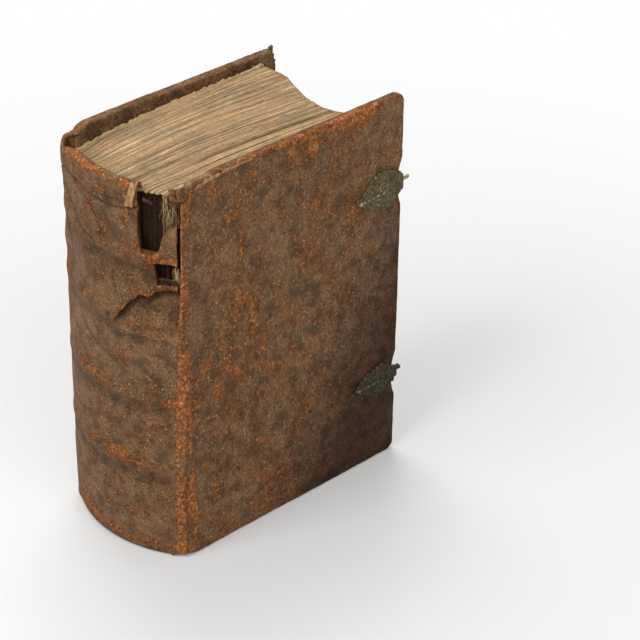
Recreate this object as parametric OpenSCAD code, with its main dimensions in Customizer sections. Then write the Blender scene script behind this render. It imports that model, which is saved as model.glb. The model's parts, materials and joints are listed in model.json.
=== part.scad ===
// Thick antique book: sewn text block, wooden boards, leather skin and two clasp catches.
// The book stands on its tail. +Z is the head, +X the front cover, -Y the spine.

/* [Book] */
// Height of the covers from tail to head
book_h = 210; // [190:1:240]
// Thickness over both covers
book_t = 84; // [72:1:100]
// Width of the front cover from the spine corner to its fore-edge
front_w = 146.5; // [140:0.5:160]
// Width left of the rear cover, which has lost a strip at its fore-edge
rear_w = 136.5; // [134:0.5:146]
// Rise of the rounded spine above the line through its corners
spine_rise = 15; // [12:0.5:18]
// Distance of both hinge creases from the spine corners
joint_y = 4.5; // [4:0.1:6]
// Gap left in the skin at a hinge crease
crease_gap = 0.3; // [0.2:0.05:0.6]

/* [Boards] */
// Thickness of a wooden board
board_t = 3.8; // [3:0.1:5]
// Thickness of the leather on a board
skin_t = 0.7; // [0.5:0.05:1]
// Width of the leather turned in over the board's inner face
turn_in_w = 15; // [8:0.5:22]
// Thickness of a pasted-down sheet
paste_t = 0.4; // [0.2:0.05:0.5]
// Gap around a pasted-down sheet
paste_gap = 0.4; // [0.2:0.1:1]
// Rounding of a cover's fore-edge corners
corner_r = 5; // [2:0.5:9]
// Rounding of a cover's corners at the joint
joint_corner_r = 4.5; // [1:0.5:8]
// Rounding of a cover's long edges
edge_r = 1.4; // [1:0.1:2]
// Depth of the tears along the rear cover's fore-edge
fray = 1.1; // [0.4:0.1:1.6]

/* [Text block] */
// Height of the leaves
page_h = 201; // [180:0.5:205]
// Distance of the fore-edge from the spine corners
page_w = 124; // [120:0.5:130]
// Depth of the hollow in the fore-edge
hollow_d = 8; // [6:0.5:14]
// Width of the hollow in the fore-edge
hollow_w = 50; // [44:1:60]
// Sideways place of the hollow towards the front cover
hollow_x = 10.5; // [-4:0.5:14]
// How far the head of the leaves sags at the rear corner of the spine
head_sag = 6.5; // [2:0.5:9]
// Sideways place, at the spine corners, of the line from which the leaves sag
sag_x = 40; // [20:1:46]
// How far the head of the leaves rises from the spine to its middle
head_crown = 1; // [0.4:0.1:2]
// Number of folded sections
sections = 24; // [16:1:30]
// Gap between the text block and a cover
block_gap = 0.3; // [0.2:0.1:1]

/* [Spine] */
// Thickness of the leather on the spine
leather_t = 1.4; // [1:0.1:1.8]
// Thickness of the linings between the cords
lining_t = 0.6; // [0.4:0.1:0.8]
// Gap between the layers of the spine
fit = 0.3; // [0.2:0.05:0.5]
// Radius of the front corner of the spine
front_joint_r = 3; // [2.5:0.25:5]
// Radius of the rear corner of the spine, which is worn rounder
rear_joint_r = 8; // [5:0.25:9]
// How far the leather falls away from the headcap towards the joints
head_dip = 4; // [2:0.5:6]

/* [Raised bands] */
// Height of the first raised band, the one nearest the head
band_1_z = 171; // [165:0.5:176]
// Height of the second raised band
band_2_z = 135; // [129:0.5:141]
// Height of the third raised band
band_3_z = 93; // [87:0.5:99]
// Height of the fourth raised band
band_4_z = 54; // [48:0.5:60]
// Width of a raised band at its foot
band_w = 11; // [9:0.5:14]
// How far a raised band stands out of the spine
band_rise = 1.8; // [1.4:0.1:2.6]
// Thickness of one strand of a double sewing cord
cord_d = 2.5; // [1.8:0.1:2.8]
// Length of the cord slips let into the boards
slip_l = 26; // [15:1:35]
// Width of a cord slip
slip_w = 6; // [4:0.5:8]
// Thickness of a cord slip
slip_t = 1.4; // [1:0.1:1.8]
// Clearance of a slip in its channel
slip_fit = 0.1; // [0.05:0.05:0.3]

/* [Endbands] */
// Diameter of the endband cores
core_d = 2; // [1.6:0.1:3]
// Half of the angle that the headcap and its endband take up
cap_angle = 23; // [16:1:26]
// Half of the angle that the tailcap and its endband take up
tail_angle = 33; // [20:1:34]

/* [Tear below the headcap] */
// Angle on the spine at which the headcap is torn off
tear_angle = 20; // [17:0.5:23]
// Depth of the torn opening from the head of the boards
tear_d = 38; // [30:0.5:42]
// Height of the second opening, below the first band
gap_h = 11; // [6:0.5:14]
// Height of the leather bridge left between the two openings
bridge_h = 4.5; // [3:0.5:6]
// Depth to which the grain of the leather is lost below the openings
peel_t = 0.6; // [0.3:0.1:0.9]
// Width of the crack along the front joint
crack_w = 0.9; // [0.5:0.1:1.5]
// Length of the crack along the front joint from the head of the boards
crack_l = 70; // [50:1:90]
// Length of joint leather lost at the head of the front joint
joint_loss = 6; // [3:0.5:12]

/* [Clasp catches] */
// Height of the upper catch
upper_catch_z = 161; // [150:0.5:172]
// Height of the lower catch
lower_catch_z = 47.5; // [38:0.5:58]
// Length of a catch plate from the fore-edge to its tip
plate_l = 32; // [26:0.5:38]
// Width of a catch plate
plate_w = 21; // [16:0.5:24]
// Place of a plate's widest part, as a share of its length from the fore-edge
belly_share = 0.36; // [0.25:0.01:0.45]
// Thickness of a catch plate
plate_t = 1.1; // [0.8:0.1:1.6]
// Height of the relief on a catch plate
relief_t = 0.7; // [0.4:0.1:1]
// Length of a notch in the fore-edge
notch_l = 26; // [18:0.5:30]
// Depth of a notch in the fore-edge
notch_d = 2.8; // [1.5:0.1:3.5]
// Diameter of the barrel at a plate's fore-edge end
barrel_d = 3.2; // [2.6:0.1:3.6]
// Length of the upper plate's barrel
upper_barrel_l = 11.5; // [8:0.5:14]
// Length of the lower plate's barrel
lower_barrel_l = 8.5; // [6:0.5:12]
// Diameter of a catch pin
pin_d = 1.4; // [1:0.1:1.6]
// Length of the upper pin beyond the fore-edge
upper_pin_out = 5; // [3:0.5:7]
// Length of the lower pin beyond the fore-edge
lower_pin_out = 3; // [2:0.5:7]
// Radial clearance of pins and nails in their holes
pin_fit = 0.05; // [0.02:0.01:0.1]
// Diameter of a nail's shank
nail_d = 1.1; // [0.8:0.1:1.3]
// Diameter of a nail's head
nail_head_d = 2.2; // [1.8:0.1:2.8]
// Height of a nail's domed head
nail_head_h = 0.6; // [0.4:0.05:0.8]
// Depth of a nail in the board
nail_depth = 2.4; // [1.5:0.1:2.6]

/* [Hidden] */

eps = 0.01;
x_out = book_t / 2;
cover_t = board_t + 2 * skin_t;
x_in = x_out - cover_t;
block_x = x_in - block_gap;
spine_r = (x_out * x_out + spine_rise * spine_rise) / (2 * spine_rise);
spine_cy = spine_r - spine_rise;
bands = [band_1_z, band_2_z, band_3_z, band_4_z];
band_r = (band_w * band_w / 4 + band_rise * band_rise) / (2 * band_rise);

// The layers of the spine, from the leather inwards
inner_r = spine_r - leather_t;
lining_r = inner_r - fit;
fold_out_r = lining_r - lining_t - fit;
arc_half = asin((block_x - 2) / fold_out_r);
fold_r = fold_out_r * sin(arc_half / (sections - 1)) / (1 + sin(arc_half / (sections - 1))) * 0.98;
fold_mid_r = fold_out_r - fold_r;
cord_mid_r = fold_out_r + fit + cord_d / 2;

// Caps, endbands and the place of the leaves between them
cap_w = core_d + 2 * fit + 2 * leather_t;
core_mid_r = spine_r - cap_w / 2;
page_z0 = cap_w / 2 + core_d / 2 + fit;
page_z1 = page_z0 + page_h;
cap_z = page_z1 - head_crown + fit + core_d / 2 + cap_w / 2;
head_core_z = cap_z - cap_w / 2;
tail_core_z = cap_w / 2;
dip_r = (x_out * x_out + head_dip * head_dip) / (2 * head_dip);

// Two lying cylinders whose upper sides are the head of the leaves, one turned in plan, one across it
sag_turn = 27;
sag_reach = (sag_x + block_x) * cos(sag_turn);
sag_r = (sag_reach * sag_reach + head_sag * head_sag) / (2 * head_sag);
crown_y = page_w / 3;
crown_reach = crown_y + spine_rise;
crown_r = (crown_reach * crown_reach + head_crown * head_crown) / (2 * head_crown);

// Angle on the spine where a joint corner of radius r begins
function corner_angle(r) = asin((x_out - r) / (spine_r - r));
// Distance from the corner line of the centre of that joint corner
function corner_y(r) = spine_cy - (spine_r - r) * cos(corner_angle(r));

// Crack that turns down along the front joint from the head
tear_foot = book_h - tear_d;
crack_x = x_out - front_joint_r;
crack_y = corner_y(front_joint_r);
crack_turn = 40;
crack_reach = crack_x + front_joint_r * cos(crack_turn);
crack_angle = atan(crack_reach / (spine_cy - crack_y + front_joint_r * sin(crack_turn)));

// Corners of the openings torn in the spine: angle past the torn headcap, and height
first_opening = [
    [tear_angle + 0.5, book_h + 1], [tear_angle, tear_foot + 0.63 * tear_d],
    [tear_angle + 0.7, tear_foot + 0.29 * tear_d], [tear_angle + 2, tear_foot],
    [tear_angle + 7, tear_foot], [tear_angle + 10, tear_foot + 0.1 * tear_d],
    [tear_angle + 11.5, tear_foot + 0.26 * tear_d], [tear_angle + 17, tear_foot + 0.46 * tear_d],
    [crack_angle, tear_foot + 0.47 * tear_d], [crack_angle, book_h + 1]
];
gap_top = tear_foot - bridge_h;
second_opening = [
    [tear_angle + 7.5, gap_top], [tear_angle + 8, gap_top - gap_h], [tear_angle + 16, gap_top - 0.95 * gap_h],
    [tear_angle + 17, gap_top - gap_h / 2], [tear_angle + 14, gap_top]
];
peel_top = gap_top - gap_h;
peel_foot = band_2_z + 0.55 * band_w;
peel_h = peel_top - peel_foot;
peeled_grain = [
    [tear_angle + 8, peel_top + 0.06 * peel_h], [tear_angle + 5, peel_top - 0.35 * peel_h],
    [tear_angle, peel_top - 0.5 * peel_h], [tear_angle - 5, peel_foot + 0.2 * peel_h],
    [tear_angle - 7, peel_foot], [tear_angle + 16, peel_foot], [tear_angle + 17.5, peel_top - 0.13 * peel_h]
];
// Angle about which the openings are drawn flat
tear_mid = 30;
// Depth of a cut through everything between the leather and the folds
tear_through = 10;

// Room that a lining leaves for a sewing cord, and the angle that a raised band reaches past
band_room = cord_d + fit;
band_reach = 42;

// Catch plates on the front cover
notch_y = front_w - notch_d;
barrel_y = notch_y + fit + barrel_d / 2;
barrel_x = x_out + plate_t - barrel_d / 2;
catch_top = plate_t + max(relief_t, nail_head_h);

// Leaf of a catch plate: two arcs that meet at its tip, and lobes along its sides
belly = belly_share * plate_l;
leaf_r = ((plate_l - belly) * (plate_l - belly) + plate_w * plate_w / 4) / plate_w;
boss_share = 0.22;
boss_r = 0.19 * plate_w;
lobe_shares = [0.1, 0.27, 0.45, 0.62, 0.77, 0.89];
// Share of the leaf's half width at which its lobes sit, and share of its length that the rib takes up
lobe_place = 0.88;
rib_share = 0.87;
// Half width of the leaf at a share of its length
function leaf_half(s) = plate_w / 2 - leaf_r + sqrt(leaf_r * leaf_r - pow(s * plate_l - belly, 2));
// Radius of a lobe at a share of the leaf's length
function lobe_r(s) = plate_w * (0.12 - 0.05 * s);
// Places of the nails on a plate: share of its length from the fore-edge, and of its width
nail_spots = [[0.93, 0], [0.6, 0.24], [0.14, -0.24]];

// Shift that puts the origin under the middle of the whole book
shift_x = -catch_top / 2;
shift_y = (spine_rise + band_rise - front_w - upper_pin_out) / 2;

nail_ball = (nail_head_d * nail_head_d / 4 + nail_head_h * nail_head_h) / (2 * nail_head_h);

leather = [0.27, 0.16, 0.10];
worn_leather = [0.45, 0.24, 0.12];
oak = [0.42, 0.31, 0.20];
paper = [0.74, 0.64, 0.45];
hemp = [0.62, 0.53, 0.38];
brass = [0.42, 0.39, 0.22];

// Moves the book's own axes, through its spine corners, to the origin
module place() {
    translate([shift_x, shift_y, 0]) children();
}

// Plan or profile rectangle whose corners have their own radii, from low-low round to low-high
module soft_rect(w, h, r) {
    spots = [[0, 0, 0], [w, 0, 90], [w, h, 180], [0, h, 270]];
    difference() {
        square([w, h]);
        for (i = [0:3]) if (r[i] > 0) {
            translate([spots[i][0], spots[i][1]]) rotate(spots[i][2]) difference() {
                translate([-1, -1]) square([r[i] + 1, r[i] + 1]);
                translate([r[i], r[i]]) circle(r = r[i], $fn = 48);
            }
        }
    }
}

// Turns a drawing of width and height into a slab that faces +X
module face_x(x, t) {
    translate([x, 0, 0]) rotate([90, 0, 90]) linear_extrude(t) children();
}

// Sweeps a radius and height profile round the spine, between two angles from its middle
module round_spine(a, b) {
    translate([0, spine_cy, 0]) rotate_extrude(angle = b - a, start = a - 90, $fn = 180) children();
}

// Height, along the torn fore-edge, of the tear with number i
function fray_at(i) = fray * (0.5 + 0.3 * sin(i * 137) + 0.2 * sin(i * 71));

// Outline of a cover in width and height, drawn in by an inset
module cover_outline(w, inset, frayed) {
    y0 = joint_y + crease_gap / 2;
    z0 = inset;
    far = w - inset;
    difference() {
        translate([y0, z0]) soft_rect(far - y0, book_h - 2 * inset,
            [joint_corner_r, frayed ? 1 : corner_r - inset, frayed ? 1 : corner_r - inset, joint_corner_r]);
        if (!frayed) for (z = [upper_catch_z, lower_catch_z]) notch(z, inset);
        if (frayed) torn_edge(w, inset);
    }
}

// Shallow scoop in the fore-edge beside a catch
module notch(z, inset) {
    r = (notch_l * notch_l / 4 + notch_d * notch_d) / (2 * notch_d);
    translate([front_w - notch_d + r, z]) circle(r = r + inset, $fn = 120);
}

// Ragged line of the torn fore-edge
module torn_edge(w, inset) {
    steps = 26;
    pitch = book_h / steps;
    polygon(concat(
        [for (i = [0:steps]) [w - inset - fray_at(i + 3 * inset), i * pitch]],
        [[w + 5, book_h + 1], [w + 5, -1]]
    ));
}

// Solid of a cover at +X between two depths from its outer face
module cover_slab(w, inset, depth, frayed) {
    t = depth - inset;
    r = edge_r - inset / 2;
    intersection() {
        face_x(x_out - depth, t) cover_outline(w, inset, frayed);
        translate([x_out - depth, 0, -1]) linear_extrude(book_h + 2)
            soft_rect(t, w - inset, [0, 0, frayed ? 0 : r, frayed ? 0 : r]);
        translate([x_out - depth, w, inset]) rotate([90, 0, 0]) linear_extrude(w + 1)
            soft_rect(t, book_h - 2 * inset, [r, r, r, r]);
    }
}

// Channels for the cord slips, or the slips themselves when the clearance is none
module slip_bars(clear) {
    y0 = joint_y + crease_gap / 2;
    x0 = x_out - skin_t - slip_t;
    for (z = bands) {
        face_x(x0 - clear, slip_t + clear) translate([y0 - clear, z - slip_w / 2 - clear])
            soft_rect(slip_l + 2 * clear, slip_w + 2 * clear, [0, slip_w / 2, slip_w / 2, 0]);
    }
}

// Wooden board at +X, without its nail holes
module board(w, frayed) {
    difference() {
        cover_slab(w, skin_t, cover_t - skin_t, frayed);
        slip_bars(slip_fit);
    }
}

// Space inside the turned-in leather, drawn in by a gap
module window(w, gap, frayed) {
    y0 = joint_y + crease_gap / 2 - 1;
    far = frayed ? w + 6 : w - turn_in_w - gap;
    translate([y0 + (gap > 0 ? 1 : 0), turn_in_w + gap])
        square([far - y0 - (gap > 0 ? 1 : 0), book_h - 2 * turn_in_w - 2 * gap]);
}

// Leather of a cover at +X: outer face, edges and turn-ins
module cover_leather(w, frayed) {
    difference() {
        cover_slab(w, 0, cover_t, frayed);
        board_space(w, frayed);
        face_x(x_in - 1, skin_t + 1 + eps) window(w, 0, frayed);
    }
}

// The board's space in the leather, open at the joint, and at a torn fore-edge
module board_space(w, frayed) {
    cover_slab(w, skin_t, cover_t - skin_t, frayed);
    y0 = joint_y + crease_gap / 2;
    translate([x_in + skin_t, y0 - 1, skin_t]) cube([board_t, joint_corner_r + 1, book_h - 2 * skin_t]);
    if (frayed) translate([x_in - 1, w - skin_t - 2 * fray, skin_t])
        cube([cover_t - skin_t + 1, skin_t + 4 * fray, book_h - 2 * skin_t]);
}

// Sheet pasted inside a board at +X
module pastedown(w, frayed) {
    intersection() {
        face_x(x_in + skin_t - paste_t, paste_t) window(w, paste_gap, frayed);
        cover_slab(w, skin_t, cover_t, frayed);
    }
}

module nails_at(z) {
    for (p = nail_spots) translate([0, notch_y - p[0] * plate_l, z + p[1] * plate_w])
        rotate([0, 90, 0]) children();
}

// Holes for the nails through plate, leather and board
module nail_holes(z) {
    nails_at(z) translate([0, 0, x_out - skin_t - nail_depth - 2 * pin_fit])
        cylinder(d = nail_d + 2 * pin_fit, h = nail_depth + 3 * plate_t + skin_t, $fn = 24);
}

// Pointed leaf with lobed sides, in width and height, its foot on the line y = 0
module leaf_outline() {
    intersection() {
        translate([-belly, leaf_r - plate_w / 2]) circle(r = leaf_r, $fn = 96);
        translate([-belly, plate_w / 2 - leaf_r]) circle(r = leaf_r, $fn = 96);
        translate([-plate_l, -plate_w / 2]) square([plate_l, plate_w]);
    }
    for (s = lobe_shares) for (side = [-1, 1])
        translate([-s * plate_l, side * leaf_half(s) * lobe_place]) circle(r = lobe_r(s), $fn = 32);
}

// Low dome of a given radius and height on a plate's face
module dome(r, h) {
    ball = (r * r + h * h) / (2 * h);
    rotate([0, 90, 0]) translate([0, 0, h - ball]) intersection() {
        sphere(r = ball, $fn = 48);
        translate([0, 0, ball - h]) cylinder(r = r + 1, h = h + 1, $fn = 32);
    }
}

// Cast catch plate at height z with its barrel round the notch
module catch_plate(z, barrel_l) {
    face = x_out + plate_t;
    difference() {
        union() {
            translate([0, notch_y, z]) face_x(x_out, plate_t) leaf_outline();
            translate([face - eps, notch_y, z]) {
                for (s = lobe_shares) for (side = [-1, 1])
                    translate([0, -s * plate_l, side * leaf_half(s) * lobe_place])
                        dome(lobe_r(s) * 0.8, relief_t * 0.7);
                translate([0, -boss_share * plate_l, 0]) dome(boss_r, relief_t);
            }
            midrib(face, z);
            translate([barrel_x, barrel_y, z - barrel_l / 2]) cylinder(d = barrel_d, h = barrel_l, $fn = 48);
            translate([x_out, notch_y - plate_t, z - barrel_l / 2])
                cube([plate_t, barrel_y - notch_y + plate_t, barrel_l]);
        }
        nail_holes(z);
        pin_hole(z);
    }
}

// Raised rib along the middle of a plate
module midrib(face, z) {
    r = plate_w * 0.05;
    rib_l = (rib_share - boss_share) * plate_l - boss_r - relief_t;
    translate([face + relief_t - r, notch_y - rib_share * plate_l, z]) rotate([-90, 0, 0]) intersection() {
        cylinder(r = r, h = rib_l, $fn = 32);
        translate([r - relief_t - eps, -r - 1, -1]) cube([r + 2, 2 * r + 2, plate_l]);
    }
}

// Height of a pin on its barrel
function pin_z(z) = z + barrel_d / 4;

module pin_hole(z) {
    translate([barrel_x, barrel_y, pin_z(z)]) rotate([-90, 0, 0])
        cylinder(d = pin_d + 2 * pin_fit, h = 2 * barrel_d, $fn = 24);
}

module catch_pin(z, out) {
    translate([barrel_x, barrel_y, pin_z(z)]) rotate([-90, 0, 0])
        cylinder(d = pin_d, h = front_w + out - barrel_y, $fn = 24);
}

module plate_nails(z) {
    nails_at(z) {
        translate([0, 0, x_out - skin_t - nail_depth])
            cylinder(d = nail_d, h = nail_depth + skin_t + plate_t + eps, $fn = 24);
        translate([0, 0, x_out + plate_t]) intersection() {
            translate([0, 0, nail_head_h - nail_ball]) sphere(r = nail_ball, $fn = 32);
            cylinder(d = nail_head_d, h = nail_head_h, $fn = 32);
        }
    }
}

// One folded section of leaves after the other, sewn into a rounded block
module text_block() {
    hollow_r = (hollow_w * hollow_w / 4 + hollow_d * hollow_d) / (2 * hollow_d);
    straight_y = spine_cy - sqrt(fold_mid_r * fold_mid_r - block_x * block_x) + 1;
    color(paper) place() intersection() {
        translate([0, 0, page_z0]) linear_extrude(page_h) difference() {
            intersection() {
                union() {
                    translate([0, spine_cy]) circle(r = fold_mid_r, $fn = 180);
                    translate([-block_x, straight_y]) square([2 * block_x, page_w - straight_y]);
                    for (i = [0:sections - 1]) rotate_fold(i) circle(r = fold_r, $fn = 24);
                }
                translate([-block_x, -spine_rise]) square([2 * block_x, page_w + spine_rise]);
            }
            translate([hollow_x, page_w - hollow_d + hollow_r]) circle(r = hollow_r, $fn = 120);
        }
        sagging_head();
        crowned_head();
    }
}

// Round upper limit of the leaves, lowest at the rear corner of the spine
module sagging_head() {
    translate([sag_x, 0, page_z1 - sag_r]) rotate([0, 0, sag_turn]) rotate([90, 0, 0])
        cylinder(r = sag_r, h = 4 * page_w, center = true, $fn = 720);
}

// Round upper limit of the leaves from the spine to the fore-edge
module crowned_head() {
    translate([0, crown_y, page_z1 - crown_r]) rotate([0, 90, 0])
        cylinder(r = crown_r, h = 4 * book_t, center = true, $fn = 1440);
}

// Carries a fold to its place on the spine side
module rotate_fold(i) {
    a = arc_half * (2 * i / (sections - 1) - 1);
    translate([fold_mid_r * sin(a), spine_cy - fold_mid_r * cos(a)]) children();
}

// Plan of the space inside the spine corners, drawn in by an inset, or out by a negative one
module spine_plan(inset) {
    fa = corner_angle(front_joint_r);
    ra = corner_angle(rear_joint_r);
    far = 2 * spine_r;
    intersection() {
        union() {
            intersection() {
                translate([0, spine_cy]) circle(r = spine_r - inset, $fn = 180);
                polygon([[0, spine_cy], [-far * sin(ra), spine_cy - far * cos(ra)],
                    [far * sin(fa), spine_cy - far * cos(fa)]]);
            }
            joint_plan(front_joint_r, inset);
            mirror([1, 0]) joint_plan(rear_joint_r, inset);
        }
        translate([-book_t, -book_t]) square([2 * book_t, book_t + joint_y - crease_gap / 2]);
    }
}

// Plan of one rounded spine corner of radius r, on the side of +X
module joint_plan(r, inset) {
    y = corner_y(r);
    translate([x_out - r, y]) circle(r = r - inset, $fn = 96);
    polygon([[0, spine_cy], [x_out - r, y], [x_out - inset, y], [x_out - inset, spine_cy]]);
}

// Leather raised over one sewing cord
module band(z) {
    intersection() {
        round_spine(-band_reach, band_reach) intersection() {
            translate([spine_r + band_rise - band_r, z]) circle(r = band_r, $fn = 64);
            translate([inner_r + leather_t / 3, z - band_w]) square([leather_t + band_rise, 2 * band_w]);
        }
        translate([0, 0, z - band_w]) linear_extrude(2 * band_w) spine_plan(-band_rise);
        translate([-x_out, -2 * spine_rise, z - band_w]) cube([book_t, 3 * spine_rise, 2 * band_w]);
    }
}

// Hollow under a band that leaves room for the sewing cord
module band_hollow(z) {
    round_spine(-corner_angle(rear_joint_r), corner_angle(front_joint_r))
        translate([spine_r + band_rise - band_r, z]) circle(r = band_r - leather_t, $fn = 64);
}

// Leather turned in over an endband core, as half a ring; side is 1 at the head and -1 at the tail
module cap_ring(z, side) {
    intersection() {
        translate([core_mid_r, z]) difference() {
            circle(d = cap_w, $fn = 48);
            circle(d = cap_w - 2 * leather_t, $fn = 48);
        }
        translate([core_mid_r - cap_w, side > 0 ? z - eps : z - cap_w]) square([2 * cap_w, cap_w + eps]);
    }
}

// What rounds the wall off outside the core at height z; side is 1 at the head and -1 at the tail
module cap_corner(z, side) {
    difference() {
        translate([core_mid_r, side > 0 ? z : z - cap_w]) square([cap_w, cap_w]);
        translate([core_mid_r, z]) circle(d = cap_w, $fn = 48);
    }
}

// Prism through the leather, drawn in angles on the spine and heights
module tear_cut(points, deep) {
    translate([0, spine_cy, 0]) rotate([0, 0, tear_mid - 90]) translate([spine_r - deep, 0, 0])
        rotate([90, 0, 90]) linear_extrude(deep + 2 * leather_t)
            polygon([for (p = points) [spine_r * sin(p[0] - tear_mid), p[1]]]);
}

module spine_leather() {
    color(leather) place() difference() {
        intersection() {
            union() {
                linear_extrude(cap_z) difference() {
                    spine_plan(0);
                    spine_plan(leather_t);
                }
                for (z = bands) band(z);
            }
            translate([0, 0, cap_z - dip_r]) rotate([90, 0, 0])
                cylinder(r = dip_r, h = 4 * spine_rise, center = true, $fn = 360);
        }
        for (z = bands) band_hollow(z);
        round_spine(-cap_angle, cap_angle) cap_corner(head_core_z, 1);
        round_spine(-tail_angle, tail_angle) cap_corner(tail_core_z, -1);
        tears();
    }
    color(worn_leather) place() difference() {
        union() {
            round_spine(-cap_angle, cap_angle) cap_ring(head_core_z, 1);
            round_spine(-tail_angle, tail_angle) cap_ring(tail_core_z, -1);
        }
        tears();
    }
}

// Everything torn out of the spine's leather
module tears() {
    tear_cut(first_opening, tear_through);
    tear_cut(second_opening, tear_through);
    tear_cut(peeled_grain, peel_t);
    translate([crack_x, crack_y, book_h - crack_l]) rotate([0, 0, -crack_turn])
        translate([0, -crack_w / 2, 0]) cube([front_joint_r + 3, crack_w, crack_l + 1]);
    translate([crack_x, -spine_rise, book_h - joint_loss])
        cube([front_joint_r + 1, spine_rise + joint_y, joint_loss + 1]);
}

module sewing_cord(z) {
    color(hemp) place() round_spine(2 - corner_angle(rear_joint_r), corner_angle(front_joint_r) - 2)
        for (side = [-1, 1]) translate([cord_mid_r, z + side * cord_d * 0.46]) circle(d = cord_d, $fn = 32);
}

// Lining between two heights on the section folds
module lining(z0, z1) {
    color(hemp) place() difference() {
        round_spine(-arc_half, arc_half) translate([lining_r - lining_t, z0]) square([lining_t, z1 - z0]);
        tears();
    }
}

module spine_lining_1() { lining(band_1_z + band_room, page_z1 - head_sag); }
module spine_lining_2() { lining(band_2_z + band_room, band_1_z - band_room); }
module spine_lining_3() { lining(band_3_z + band_room, band_2_z - band_room); }
module spine_lining_4() { lining(band_4_z + band_room, band_3_z - band_room); }
module spine_lining_5() { lining(page_z0 + 1, band_4_z - band_room); }
module sewing_cord_1() { sewing_cord(band_1_z); }
module sewing_cord_2() { sewing_cord(band_2_z); }
module sewing_cord_3() { sewing_cord(band_3_z); }
module sewing_cord_4() { sewing_cord(band_4_z); }

module head_endband() {
    color(hemp) place() round_spine(-cap_angle, tear_angle) translate([core_mid_r, head_core_z])
        circle(d = core_d, $fn = 32);
}

module tail_endband() {
    color(hemp) place() round_spine(-tail_angle, tail_angle) translate([core_mid_r, tail_core_z])
        circle(d = core_d, $fn = 32);
}

module front_board() {
    color(oak) place() difference() {
        board(front_w, false);
        nail_holes(upper_catch_z);
        nail_holes(lower_catch_z);
    }
}

module front_cover_leather() {
    color(leather) place() difference() {
        cover_leather(front_w, false);
        nail_holes(upper_catch_z);
        nail_holes(lower_catch_z);
    }
}

module front_pastedown() { color(paper) place() pastedown(front_w, false); }
module front_cord_slips() { color(hemp) place() slip_bars(0); }
module upper_catch_plate() { color(brass) place() catch_plate(upper_catch_z, upper_barrel_l); }
module lower_catch_plate() { color(brass) place() catch_plate(lower_catch_z, lower_barrel_l); }
module upper_catch_pin() { color(brass) place() catch_pin(upper_catch_z, upper_pin_out); }
module lower_catch_pin() { color(brass) place() catch_pin(lower_catch_z, lower_pin_out); }
module upper_plate_nails() { color(brass) place() plate_nails(upper_catch_z); }
module lower_plate_nails() { color(brass) place() plate_nails(lower_catch_z); }

module rear_board() { color(oak) place() mirror([1, 0, 0]) board(rear_w, true); }
module rear_cover_leather() { color(leather) place() mirror([1, 0, 0]) cover_leather(rear_w, true); }
module rear_pastedown() { color(paper) place() mirror([1, 0, 0]) pastedown(rear_w, true); }
module rear_cord_slips() { color(hemp) place() mirror([1, 0, 0]) slip_bars(0); }

text_block();
spine_leather();
sewing_cord_1();
sewing_cord_2();
sewing_cord_3();
sewing_cord_4();
spine_lining_1();
spine_lining_2();
spine_lining_3();
spine_lining_4();
spine_lining_5();
head_endband();
tail_endband();
front_board();
front_cover_leather();
front_pastedown();
front_cord_slips();
upper_catch_plate();
lower_catch_plate();
upper_catch_pin();
lower_catch_pin();
upper_plate_nails();
lower_plate_nails();
rear_board();
rear_cover_leather();
rear_pastedown();
rear_cord_slips();
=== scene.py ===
# Old leather-bound book: worn leather over boards, sagging leaves, a torn spine and two cast clasp catches.
# Shapes are worked out in millimetres in the book's own axes: +X is the front cover, -Y the spine and
# +Z the head. There y is 0 on the line through the spine's corners, and z is 0 on the floor.
import math

import bpy
import numpy as np
from mathutils import Matrix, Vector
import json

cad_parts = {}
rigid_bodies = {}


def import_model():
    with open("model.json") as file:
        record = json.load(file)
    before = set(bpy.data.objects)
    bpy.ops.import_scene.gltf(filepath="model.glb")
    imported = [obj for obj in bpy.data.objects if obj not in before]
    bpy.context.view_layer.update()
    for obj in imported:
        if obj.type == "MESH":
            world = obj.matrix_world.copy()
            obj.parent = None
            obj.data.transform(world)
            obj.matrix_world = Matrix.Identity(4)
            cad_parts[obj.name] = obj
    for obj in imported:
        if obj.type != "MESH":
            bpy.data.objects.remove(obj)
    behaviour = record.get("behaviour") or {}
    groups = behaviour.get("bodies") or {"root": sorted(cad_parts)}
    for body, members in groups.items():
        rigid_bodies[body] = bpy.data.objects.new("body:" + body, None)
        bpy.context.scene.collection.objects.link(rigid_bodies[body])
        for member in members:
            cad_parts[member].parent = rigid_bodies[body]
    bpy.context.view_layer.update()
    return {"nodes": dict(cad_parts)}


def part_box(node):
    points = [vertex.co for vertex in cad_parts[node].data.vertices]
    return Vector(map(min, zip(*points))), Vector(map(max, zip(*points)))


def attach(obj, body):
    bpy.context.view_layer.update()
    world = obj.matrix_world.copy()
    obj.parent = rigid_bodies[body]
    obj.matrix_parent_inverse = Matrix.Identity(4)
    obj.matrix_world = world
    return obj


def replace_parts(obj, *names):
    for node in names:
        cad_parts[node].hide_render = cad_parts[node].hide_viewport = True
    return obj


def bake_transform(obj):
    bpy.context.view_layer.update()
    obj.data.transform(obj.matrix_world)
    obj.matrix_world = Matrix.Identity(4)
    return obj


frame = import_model()

# One millimetre in metres, and the least height that a point may have
MM = 0.001
GROUND = 0.02


def box_mm(node):
    """Lowest and highest corner of a frame part, in millimetres."""
    low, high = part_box(node)
    return np.array(low) / MM, np.array(high) / MM


front_low, front_high = box_mm("front_cover_leather")
rear_low, rear_high = box_mm("rear_cover_leather")
block_low, block_high = box_mm("text_block")

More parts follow.
